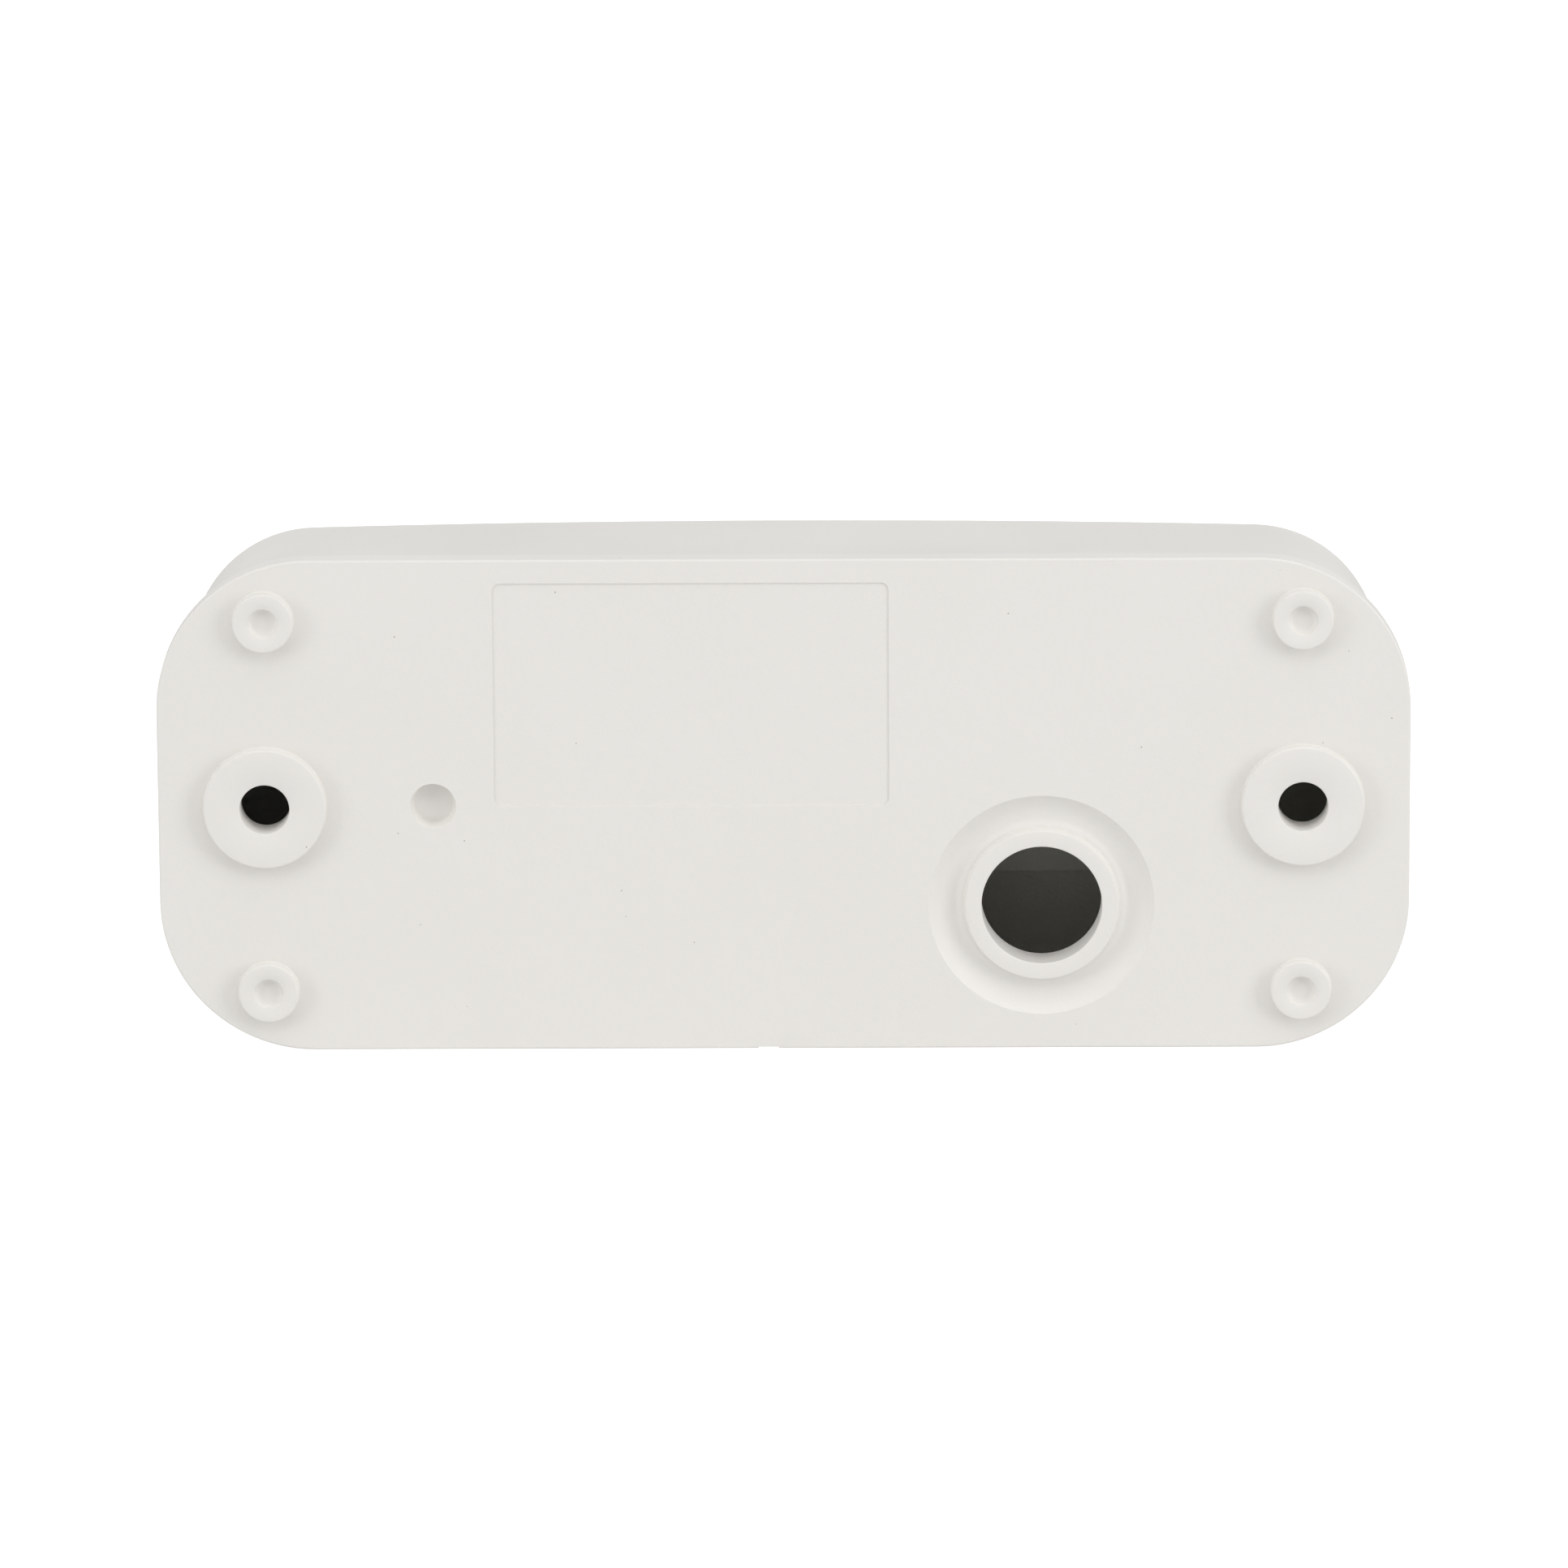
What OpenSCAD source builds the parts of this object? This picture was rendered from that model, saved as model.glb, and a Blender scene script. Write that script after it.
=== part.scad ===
// Surface-mounted, splash-proof bell push: a flat back plate screwed to a wall, a clipped
// crowned cover, a sprung push button that closes a double-break contact, and a name window.
// X runs along the long side, Z is up, and -Y is the front. The wall plane is y = 0, and the
// origin lies on it, midway between the two wall-screw holes.

/* [Housing] */
// Length of the back plate
plate_w = 83.0; // [80:0.5:92]
// Height of the back plate
plate_h = 33.5; // [32:0.5:40]
// Corner radius of the back plate
plate_r = 10.2; // [9:0.1:12]
// Thickness of the back plate, without bosses and feet
plate_t = 1.6; // [1.4:0.1:1.8]
// Depth from the wall to the middle of the cover's front
depth = 16.8; // [16.6:0.1:18]
// How much the cover's front falls from its middle to 30 mm on either side
crown_drop = 1.47; // [1:0.01:1.8]
// Wall thickness of the cover
wall = 1.8; // [1.5:0.1:2]
// Radius of the cover's front edge
edge_r = 3.0; // [2.6:0.1:3.4]

/* [Back of the plate] */
// Distance between the two wall-screw holes
screw_pitch = 68.8; // [66:0.2:70]
// Diameter of the wall-screw holes
screw_hole_d = 3.3; // [3:0.1:4]
// Diameter of the raised bosses around the wall-screw holes
boss_d = 8.1; // [7:0.1:9]
// How far the bosses and feet stand proud of the plate
stand_off = 0.8; // [0.6:0.1:1]
// Distance between the corner feet along the plate
foot_pitch_x = 68.66; // [66:0.02:70]
// Distance between the corner feet across the plate
foot_pitch_z = 25.3; // [24:0.1:26]
// Diameter of the corner feet
foot_d = 4.0; // [3:0.1:5]
// Diameter of the cable entry
entry_d = 8.0; // [6:0.1:8.6]
// Distance of the cable entry from the middle along X
entry_x = -17.1; // [-19:0.1:-15]
// Distance of the cable entry from the middle along Z
entry_z = -6.9; // [-7.4:0.1:-5]
// Outer diameter of the dished recess around the cable entry
bowl_d = 15.0; // [14:0.1:16]

/* [Push button] */
// Distance of the button from the middle along X
button_x = 19.0; // [18:0.2:20]
// Diameter of the button
button_d = 19.0; // [17:0.2:19.4]
// How far the button moves when it is pressed
travel = 2.0; // [1.6:0.1:2]
// Gap all round between the button and the cover
button_gap = 0.3; // [0.25:0.05:0.4]

/* [Name window] */
// Distance of the window from the middle along X
window_x = -14.0; // [-15:0.2:-13]
// Length of the window
window_w = 30.0; // [24:0.5:30]
// Height of the window
window_h = 13.0; // [10:0.5:15]

/* [Contacts] */
// Distance of the two contact rails from the button's axis
rail_offset = 7.4; // [7.2:0.1:7.6]
// Thickness of the brass contact strips
strip_t = 0.7; // [0.5:0.1:0.8]
// Thread diameter of the terminal screws
terminal_d = 3.0; // [2.5:0.1:3]

/* [Hidden] */
$fn = 64;
eps = 0.01;

// Housing. Heights are measured from the wall towards the front.
plate_back = stand_off;
plate_front = stand_off + plate_t;
plate_edge_r = 0.15;
// The cover stands inside the plate's outline, and both pairs of sides lean inwards.
inset_end = 0.8;
inset_side = 0.25;
lean_end = 0.07;
lean_side = 0.015;
foot_w = plate_w - 2 * (inset_end + lean_end * plate_t);
foot_h = plate_h - 2 * (inset_side + lean_side * plate_t);
cover_r = plate_r - inset_end;
front_r = cover_r - 1.1;
crown_half = 30;
crown_r = (crown_half * crown_half + crown_drop * crown_drop) / (2 * crown_drop);
rim_gap = 0.4;
rim_t = 1.0;
rim_top = plate_front + 3.4;
seal_w = 0.5;
seal_h = 1.1;
snap_xs = [-18, 18];
snap_w = 7;
snap_z = plate_front + 2.1;
snap_h = 0.7;

// Back of the plate
dimple_d = foot_d / 2;
dimple_depth = 0.45;
gate_x = 23.26;
gate_d = 3.05;
gate_depth = 0.95;
panel_left = -7.0;
panel_right = 19.2;
panel_top = 15.15;
panel_depth = 0.1;
panel_r = 0.5;
nick_x = 1.1;
nick_w = 1.35;
nick_h = 0.15;
collar_d = entry_d + 2.2;
collar_top = plate_back - 0.1;
bowl_depth = 0.65;
entry_front = plate_back + 2.5;
entry_pad_d = bowl_d + 2.4;

// Button and what it pushes
button_r = button_d / 2;
turret_top = depth + 0.1;
turret_r = button_r + button_gap + 2.2;
ledge = depth - 2.9;
flange_r = button_r + 1.3;
well_r = flange_r + 0.3;
collar_r = well_r + 1.5;
collar_bottom = ledge - 3.5;
flange_t = 1.0;
flange_top = ledge - 0.1;
button_top = depth + 1.8;
dish_r = 90;
dish_low = button_top - 0.5;
symbol_t = 0.3;
cap_wall = 1.5;
cap_ceiling = dish_low - cap_wall;
membrane_t = 0.6;
membrane_hub = collar_bottom + 1.0;
plunger_head_r = 4.0;
plunger_top = membrane_hub - 0.03;
plunger_head_t = 0.8;
stud_r = 1.5;
stud_in = 1.4;
neck_r = 2.2;
bridge_t = 0.5;
bridge_w = 3.8;
bridge_reach = rail_offset + 1.2;
tip_t = 0.35;
tip_r = 1.1;
tip_gap = 0.05;
guide_r = 1.5;
guide_gap = 0.08;
washer_r = 3.7;
washer_t = 0.5;

// Contacts, stacked from the plate
floor_top = plate_front + 1.2;
rail_top = plate_front + 3.2;
strip_top = rail_top + strip_t;
fixed_tip_top = strip_top + tip_t;
bridge_bottom = fixed_tip_top + travel + tip_gap + tip_t;
bridge_top = bridge_bottom + bridge_t;
washer_bottom = bridge_bottom - washer_t;
carrier_left = 0;
carrier_right = button_x + 5.5;
rail_w = 5.4;
strip_w = 5.0;
terminal_x = carrier_left + 3.5;
clamp_t = 0.8;
terminal_head_r = 2.75;
terminal_head_t = 2.0;
post_x = button_x + 9;
post_offset = 9;
post_top = plate_front + 2.6;
tab_t = 1.2;
screw_r = 1.1;
screw_head_r = 2.2;
screw_head_t = 1.3;

// Window: what lies in its pocket, measured inwards from the crowned front
pocket_depth = 1.7;
seal_t = 0.4;
lens_sink = 0.15;
card_t = 0.3;
window_r = 2;
lens_gap = 0.1;
seal_band = 1.2;
layer_gap = 0.05;
pad_bottom = depth - 4;

// Turns a piece drawn flat on the wall plane, with its height along +Z, to face the front.
module on_wall() {
    rotate([90, 0, 0]) children();
}

module rounded_rect(w, h, r) {
    square([w - 2 * r, h], center = true);
    square([w, h - 2 * r], center = true);
    for (sx = [-1, 1], sy = [-1, 1])
        translate([sx * (w / 2 - r), sy * (h / 2 - r)]) circle(r);
}

module rounded_slab(w, h, r, z0, z1) {
    translate([0, 0, z0]) linear_extrude(z1 - z0) rounded_rect(w, h, r);
}

module rod(r, z0, z1) {
    translate([0, 0, z0]) cylinder(r = r, h = z1 - z0);
}

module at_button() {
    translate([button_x, 0, 0]) children();
}

// The solid under a crowned front that lies sink below the outer one.
module under_crown(sink) {
    translate([0, 0, depth - crown_r])
        rotate([90, 0, 0])
            cylinder(r = crown_r - sink, h = plate_h, center = true, $fn = 360);
}

function crown_z(x) = depth - crown_r + sqrt(crown_r * crown_r - x * x);

// Outside of the cover, or with inset = wall the hollow inside it: a foot outline joined to
// balls that follow the crowned front edge.
module cover_form(inset, foot_z) {
    front_x = plate_w / 2 - inset_end - lean_end * (depth - 3) - edge_r;
    front_y = plate_h / 2 - inset_side - lean_side * (depth - 3) - edge_r;
    bend_r = front_r - edge_r;
    corner = [for (a = [0 : 15 : 90])
        [front_x - bend_r + bend_r * cos(a), front_y - bend_r + bend_r * sin(a)]];
    side = [for (x = [0 : 8 : front_x - bend_r - 4]) [x, front_y]];
    hull() {
        translate([0, 0, foot_z])
            linear_extrude(eps)
                rounded_rect(foot_w - 2 * inset, foot_h - 2 * inset, cover_r - inset);
        for (p = concat(corner, side), sx = [-1, 1], sy = [-1, 1])
            translate([sx * p[0], sy * p[1], crown_z(p[0]) - edge_r])
                sphere(edge_r - inset, $fn = 24);
    }
}

// Plate with a rounded rear edge: quarter-turned corners, straight edges between them, and a
// plain core.
module plate_body() {
    module edge_profile() {
        square([plate_r - plate_edge_r, plate_t]);
        translate([0, plate_edge_r]) square([plate_r, plate_t - plate_edge_r]);
        translate([plate_r - plate_edge_r, plate_edge_r]) circle(plate_edge_r);
    }
    cx = plate_w / 2 - plate_r;
    cy = plate_h / 2 - plate_r;
    translate([0, 0, plate_back]) {
        for (sx = [0, 1], sy = [0, 1])
            mirror([sx, 0, 0]) mirror([0, sy, 0])
                translate([cx, cy, 0]) rotate_extrude(angle = 90) edge_profile();
        for (sy = [0, 1])
            mirror([0, sy, 0])
                translate([-cx, cy, 0]) rotate([90, 0, 90])
                    linear_extrude(2 * cx) edge_profile();
        for (sx = [0, 1])
            mirror([sx, 0, 0])
                translate([cx, cy, 0]) rotate([90, 0, 0])
                    linear_extrude(2 * cy) edge_profile();
        translate([-cx, -cy, 0]) cube([2 * cx, 2 * cy, plate_t]);
    }
}

// Cross-section of the dished recess: a curved slope that runs out into a flat floor, and the
// collar, which stands a little proud of the plate.
module bowl_profile() {
    bowl_r = bowl_d / 2;
    collar_r0 = collar_d / 2;
    run = bowl_r - collar_r0 - 0.5;
    arc_r = (run * run + bowl_depth * bowl_depth) / (2 * bowl_depth);
    polygon(concat(
        [[0, plate_back - 1], [bowl_r, plate_back - 1]],
        [for (i = [0 : 6]) let (u = run * (1 - i / 6))
            [bowl_r - run + u,
             plate_back + bowl_depth - arc_r + sqrt(arc_r * arc_r - u * u)]],
        [[collar_r0, plate_back + bowl_depth], [collar_r0, collar_top], [0, collar_top]]
    ));
}

module base_plate() {
    rim_w = foot_w - 2 * (wall + rim_gap);
    rim_h = foot_h - 2 * (wall + rim_gap);
    rim_r = cover_r - wall - rim_gap;
    color("whitesmoke") on_wall() difference() {
        union() {
            plate_body();
            for (sx = [-1, 1])
                translate([sx * screw_pitch / 2, 0, 0]) rod(boss_d / 2, 0, plate_front);
            for (sx = [-1, 1], sy = [-1, 1])
                translate([sx * foot_pitch_x / 2, sy * foot_pitch_z / 2, 0])
                    rod(foot_d / 2, 0, plate_back + plate_t / 2);
            translate([entry_x, entry_z, 0]) rod(collar_d / 2, collar_top, plate_front);
            intersection() {
                translate([entry_x, entry_z, 0])
                    rod(entry_pad_d / 2, plate_back + 0.4, entry_front);
                rounded_slab(rim_w, rim_h, rim_r, plate_back, rim_top);
            }
            // Rim inside the cover
            difference() {
                rounded_slab(rim_w, rim_h, rim_r, plate_back + 0.4, rim_top);
                rounded_slab(rim_w - 2 * rim_t, rim_h - 2 * rim_t, rim_r - rim_t,
                    plate_front, rim_top + 1);
            }
            // Posts for the carrier screws, and the hook over the carrier's other end
            for (sy = [-1, 1])
                translate([post_x, sy * post_offset, 0]) rod(2.4, plate_back + 0.4, post_top);
            translate([carrier_left - 1.7, -3, plate_back + 0.4])
                cube([1.4, 6, floor_top + 1.3 - plate_back - 0.4]);
            translate([carrier_left - 1.7, -3, floor_top + 0.1]) cube([2.6, 6, 1.2]);
        }
        for (sx = [-1, 1])
            translate([sx * screw_pitch / 2, 0, 0]) rod(screw_hole_d / 2, -1, plate_front + 1);
        // Dimples in the feet, and the moulding gate's dimple
        for (sx = [-1, 1], sy = [-1, 1])
            translate([sx * foot_pitch_x / 2, sy * foot_pitch_z / 2, -eps])
                cylinder(r1 = dimple_d / 2, r2 = dimple_d / 2 - 0.1, h = dimple_depth);
        translate([gate_x, 0, plate_back - eps])
            cylinder(r1 = gate_d / 2, r2 = gate_d / 2 - 0.2, h = gate_depth);
        // Shallow blank panel
        translate([(panel_left + panel_right) / 2, panel_top / 2, 0])
            rounded_slab(panel_right - panel_left, panel_top, panel_r,
                plate_back - 1, plate_back + panel_depth);
        // Cable entry
        translate([entry_x, entry_z, 0]) {
            rotate_extrude() bowl_profile();
            rod(entry_d / 2, 0, entry_front + 1);
        }
        // Slots for the cover's snap beads
        for (x = snap_xs)
            translate([x - snap_w / 2 - 0.5, -plate_h / 2, snap_z - 0.4])
                cube([snap_w + 1, plate_h, snap_h + 0.8]);
        // Pilot holes for the carrier screws
        for (sy = [-1, 1])
            translate([post_x, sy * post_offset, 0]) rod(screw_r, plate_back + 0.8, post_top + 1);
        // Nick for prying the cover off
        translate([nick_x - nick_w / 2, -plate_h / 2 - 1, 0]) cube([nick_w, 1 + nick_h, plate_front]);
    }
}

module front_cover() {
    color("whitesmoke") on_wall() difference() {
        union() {
            difference() {
                cover_form(0, plate_front);
                cover_form(wall, plate_front - eps);
            }
            // Turret and collar that the button slides in
            at_button() {
                rod(collar_r, collar_bottom, depth - wall);
                rotate_extrude() turret_profile();
            }
            // Pad behind the window's pocket
            intersection() {
                translate([window_x - window_w / 2 - 1.2, -window_h / 2 - 1.2, pad_bottom])
                    cube([window_w + 2.4, window_h + 2.4, depth - pad_bottom]);
                under_crown(1);
            }
            // Snap beads
            for (x = snap_xs, sy = [-1, 1])
                translate([x, sy * (foot_h / 2 - wall - 0.25), snap_z + snap_h / 2])
                    cube([snap_w, 1.3, snap_h], center = true);
        }
        // Rebate for the gasket
        rounded_slab(foot_w - 2 * (wall - seal_w - 0.1), foot_h - 2 * (wall - seal_w - 0.1),
            cover_r - wall + seal_w + 0.1, plate_front - 1, plate_front + seal_h + 0.1);
        at_button() {
            rod(button_r + button_gap, collar_bottom - 1, depth + 3);
            rod(well_r, collar_bottom - 1, ledge);
        }
        difference() {
            translate([window_x, 0, 0])
                rounded_slab(window_w, window_h, window_r, pad_bottom + 0.5, depth + 1);
            under_crown(pocket_depth);
        }
        // Notch for lifting the window out
        translate([window_x - window_w / 2, 0, 0]) difference() {
            rod(1.6, pad_bottom + 1, depth + 1);
            translate([-window_x + window_w / 2, 0, 0]) under_crown(pocket_depth - seal_t);
        }
    }
}

module turret_profile() {
    soft = 0.8;
    square_h = turret_top - (depth - wall) + 0.8;
    translate([0, depth - wall - 0.8]) square([turret_r, square_h - soft]);
    translate([0, depth - wall - 0.8]) square([turret_r - soft, square_h]);
    translate([turret_r - soft, turret_top - soft]) circle(soft);
}

module cover_gasket() {
    outer = wall - seal_w;
    inner = wall + rim_gap - 0.05;
    color("dimgray") on_wall() difference() {
        rounded_slab(foot_w - 2 * outer, foot_h - 2 * outer, cover_r - outer,
            plate_front, plate_front + seal_h);
        rounded_slab(foot_w - 2 * inner, foot_h - 2 * inner, cover_r - inner,
            plate_front - 1, plate_front + seal_h + 1);
    }
}

// Region just above the button's dished top, sunk by the given amount.
module over_dish(sink) {
    translate([0, 0, dish_low - sink + dish_r]) sphere(dish_r, $fn = 180);
}

module push_button() {
    soft = 1.2;
    skirt = flange_top - flange_t;
    hub_r = plunger_head_r - 0.8;
    hub_bottom = membrane_hub + membrane_t + 0.03;
    color("white") on_wall() at_button() {
        difference() {
            rotate_extrude() {
                translate([0, skirt]) square([button_r, button_top - soft - skirt]);
                translate([0, skirt]) square([button_r - soft, button_top - skirt]);
                translate([button_r - soft, button_top - soft]) circle(soft);
                translate([0, skirt]) square([flange_r, flange_t]);
            }
            over_dish(0);
            rod(button_r - cap_wall, skirt - 1, cap_ceiling);
            symbol_solid();
        }
        rod(hub_r, hub_bottom, cap_ceiling + 0.3);
        rod(stud_r, plunger_top - stud_in, hub_bottom + 0.5);
    }
}

// Hand bell: loop, dome, flared skirt and clapper, as a prism between two heights.
module bell_prism(z0, z1) {
    translate([0, 1.2, 0]) rod(1.9, z0, z1);
    translate([0, 3.1, 0]) rod(0.55, z0, z1);
    translate([0, -2.2, 0]) rod(0.9, z0, z1);
    translate([0, 0, z0]) linear_extrude(z1 - z0)
        polygon([[-1.85, 1.5], [1.85, 1.5], [2.05, -0.6], [2.9, -1.9], [-2.9, -1.9], [-2.05, -0.6]]);
}

module symbol_solid() {
    intersection() {
        bell_prism(dish_low - 2, dish_low + 2);
        over_dish(symbol_t);
    }
}

module bell_symbol() {
    color("darkslategray") on_wall() at_button() difference() {
        symbol_solid();
        over_dish(0);
    }
}

// Middle height of the membrane at radius r: flat rim, a smooth step, and a raised hub.
function step(t) = t <= 0 ? 0 : t >= 1 ? 1 : t * t * (3 - 2 * t);
function membrane_mid(r) = collar_bottom - membrane_t / 2 - 0.02
    + (membrane_hub - collar_bottom + membrane_t + 0.02) * step((7.6 - r) / 3);

module button_membrane() {
    radii = [for (i = [0 : 22]) stud_r + 0.1 + (collar_r - 0.1 - stud_r - 0.1) * i / 22];
    upper = [for (r = radii) [r, membrane_mid(r) + membrane_t / 2]];
    lower = [for (i = [22 : -1 : 0]) [radii[i], membrane_mid(radii[i]) - membrane_t / 2]];
    color("gray") on_wall() at_button() rotate_extrude() polygon(concat(upper, lower));
}

module membrane_ring() {
    top = collar_bottom - membrane_t - 0.04;
    opening_r = max(collar_r - 2.4, norm([bridge_reach, bridge_w / 2]) + 0.3);
    color("gainsboro") on_wall() at_button() difference() {
        rod(collar_r + 1.0, top - 1.2, collar_bottom + 1.2);
        rod(collar_r + 0.08, top, collar_bottom + 2);
        rod(opening_r, top - 2, top + 1);
    }
}

module plunger() {
    color("gainsboro") on_wall() at_button() difference() {
        union() {
            rod(plunger_head_r, plunger_top - plunger_head_t, plunger_top);
            rod(2.8, bridge_top, plunger_top - plunger_head_t / 2);
            rod(neck_r, bridge_bottom - washer_t, bridge_top + eps);
            rod(guide_r, plate_front + travel + 0.3, bridge_bottom);
        }
        rod(stud_r, plunger_top - stud_in, plunger_top + 1);
    }
}

module contact_bridge() {
    color("goldenrod") on_wall() at_button() difference() {
        union() {
            rod(3.4, bridge_bottom, bridge_top);
            translate([-bridge_w / 2, -bridge_reach, bridge_bottom])
                cube([bridge_w, 2 * bridge_reach, bridge_t]);
        }
        rod(neck_r, bridge_bottom - 1, bridge_top + 1);
    }
}

module bridge_tips() {
    color("silver") on_wall() at_button()
        for (sy = [-1, 1])
            translate([0, sy * (rail_offset - 0.3), 0]) rod(tip_r, bridge_bottom - tip_t, bridge_bottom);
}

module bridge_washer() {
    color("silver") on_wall() at_button() difference() {
        rod(washer_r, washer_bottom, bridge_bottom);
        rod(neck_r, washer_bottom - 1, bridge_bottom + 1);
    }
}

// Open coil spring with flat ends, swept as a ring of points along a helix.
spring_r = 3.3;
wire_r = 0.2;
coils = 4.5;
steps_per_turn = 18;
wire_sides = 8;
spring_low = floor_top + wire_r + 0.03;
spring_high = washer_bottom - wire_r - 0.03;

function spring_height(t) = spring_low + (spring_high - spring_low)
    * min(1, max(0, (t - 0.9) / (coils - 1.8)));

function spring_ring(t) = [for (k = [0 : wire_sides - 1])
    let (a = 360 * t, b = 360 * k / wire_sides, r = spring_r + wire_r * cos(b))
        [r * cos(a), r * sin(a), spring_height(t) + wire_r * sin(b)]];

module return_spring() {
    steps = coils * steps_per_turn;
    points = [for (i = [0 : steps], p = spring_ring(i / steps_per_turn)) p];
    last = steps * wire_sides;
    faces = concat(
        [[for (k = [0 : wire_sides - 1]) k]],
        [for (i = [0 : steps - 1], k = [0 : wire_sides - 1])
            let (a = i * wire_sides + k, b = i * wire_sides + (k + 1) % wire_sides)
                [a, a + wire_sides, b + wire_sides, b]],
        [[for (k = [wire_sides - 1 : -1 : 0]) last + k]]
    );
    color("silver") on_wall() at_button() polyhedron(points, faces, convexity = 6);
}

module contact_carrier() {
    rail_len = carrier_right - carrier_left;
    color("ivory") on_wall() difference() {
        union() {
            translate([carrier_left, -rail_offset - rail_w / 2, plate_front])
                cube([rail_len, 2 * rail_offset + rail_w, floor_top - plate_front]);
            for (sy = [-1, 1])
                translate([carrier_left, sy * rail_offset - rail_w / 2, plate_front])
                    cube([rail_len, rail_w, rail_top - plate_front]);
            at_button() rod(guide_r + 1.1, plate_front, rail_top + 0.4);
            // Tabs over the posts
            for (sy = [-1, 1]) {
                translate([post_x, sy * post_offset, 0]) rod(2.4, post_top, post_top + tab_t);
                translate([carrier_right - 2, sy * post_offset - 1.1 - sy * 0.2, post_top])
                    cube([post_x - carrier_right + 2, 2.2, tab_t]);
            }
        }
        at_button() rod(guide_r + guide_gap, plate_front - 1, rail_top + 3);
        for (sy = [-1, 1]) {
            translate([post_x, sy * post_offset, 0]) rod(screw_r + 0.15, post_top - 1, post_top + tab_t + 1);
            translate([terminal_x, sy * rail_offset, 0])
                rod(terminal_d / 2 + 0.2, plate_front + 0.5, rail_top + 1);
        }
    }
}

module slotted_screw(r, z0, head_r, head_z, head_t, slot) {
    difference() {
        union() {
            rod(r, z0, head_z + head_t / 2);
            rod(head_r, head_z, head_z + head_t);
        }
        translate([-head_r - 1, -slot / 2, head_z + head_t * 0.5]) cube([2 * head_r + 2, slot, head_t]);
    }
}

module carrier_screws() {
    color("silver") on_wall() for (sy = [-1, 1])
        translate([post_x, sy * post_offset, 0])
            slotted_screw(screw_r, plate_back + 1, screw_head_r, post_top + tab_t, screw_head_t, 0.6);
}

module fixed_contact(sy) {
    color("goldenrod") on_wall() difference() {
        translate([carrier_left + 0.5, sy * rail_offset - strip_w / 2, rail_top])
            cube([button_x + 2.5 - carrier_left, strip_w, strip_t]);
        translate([terminal_x, sy * rail_offset, 0]) rod(terminal_d / 2, rail_top - 1, strip_top + 1);
    }
}

module fixed_contact_upper() {
    fixed_contact(1);
}

module fixed_contact_lower() {
    fixed_contact(-1);
}

module fixed_tips() {
    color("silver") on_wall() at_button()
        for (sy = [-1, 1])
            translate([0, sy * (rail_offset - 0.3), 0]) rod(tip_r + 0.2, strip_top, fixed_tip_top);
}

module clamp_plates() {
    color("silver") on_wall() for (sy = [-1, 1])
        translate([terminal_x, sy * rail_offset, 0]) difference() {
            translate([-3, -2.6, strip_top]) cube([6, 5.2, clamp_t]);
            rod(terminal_d / 2 + 0.2, strip_top - 1, strip_top + clamp_t + 1);
        }
}

module terminal_screw(sy) {
    color("silver") on_wall() translate([terminal_x, sy * rail_offset, 0])
        slotted_screw(terminal_d / 2, plate_front + 0.8, terminal_head_r,
            strip_top + clamp_t, terminal_head_t, 0.8);
}

module terminal_screw_upper() {
    terminal_screw(1);
}

module terminal_screw_lower() {
    terminal_screw(-1);
}

// A layer of the window's stack between two depths below the crowned front.
module crowned_layer(top_sink, bottom_sink, w, h, r) {
    difference() {
        intersection() {
            translate([window_x, 0, 0]) rounded_slab(w, h, r, pad_bottom, depth + 1);
            under_crown(top_sink);
        }
        under_crown(bottom_sink);
    }
}

module window_lens() {
    color("white", 0.35) on_wall()
        crowned_layer(lens_sink, pocket_depth - seal_t - layer_gap, window_w - 2 * lens_gap,
            window_h - 2 * lens_gap, window_r - lens_gap);
}

module window_seal() {
    color("dimgray") on_wall() difference() {
        crowned_layer(pocket_depth - seal_t, pocket_depth - layer_gap, window_w - 2 * lens_gap,
            window_h - 2 * lens_gap, window_r - lens_gap);
        translate([window_x, 0, 0])
            rounded_slab(window_w - 2 * seal_band, window_h - 2 * seal_band, window_r - 1,
                pad_bottom, depth + 1);
    }
}

module name_card() {
    color("ivory") on_wall()
        crowned_layer(pocket_depth - card_t, pocket_depth - layer_gap, window_w - 2 * seal_band - 0.4,
            window_h - 2 * seal_band - 0.4, 0.5);
}

base_plate();
front_cover();
cover_gasket();
push_button();
bell_symbol();
button_membrane();
membrane_ring();
plunger();
contact_bridge();
bridge_tips();
bridge_washer();
return_spring();
contact_carrier();
carrier_screws();
fixed_contact_upper();
fixed_contact_lower();
fixed_tips();
clamp_plates();
terminal_screw_upper();
terminal_screw_lower();
window_lens();
window_seal();
name_card();
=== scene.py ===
import math

import bmesh
import bpy
from mathutils import Matrix, Vector


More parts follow.
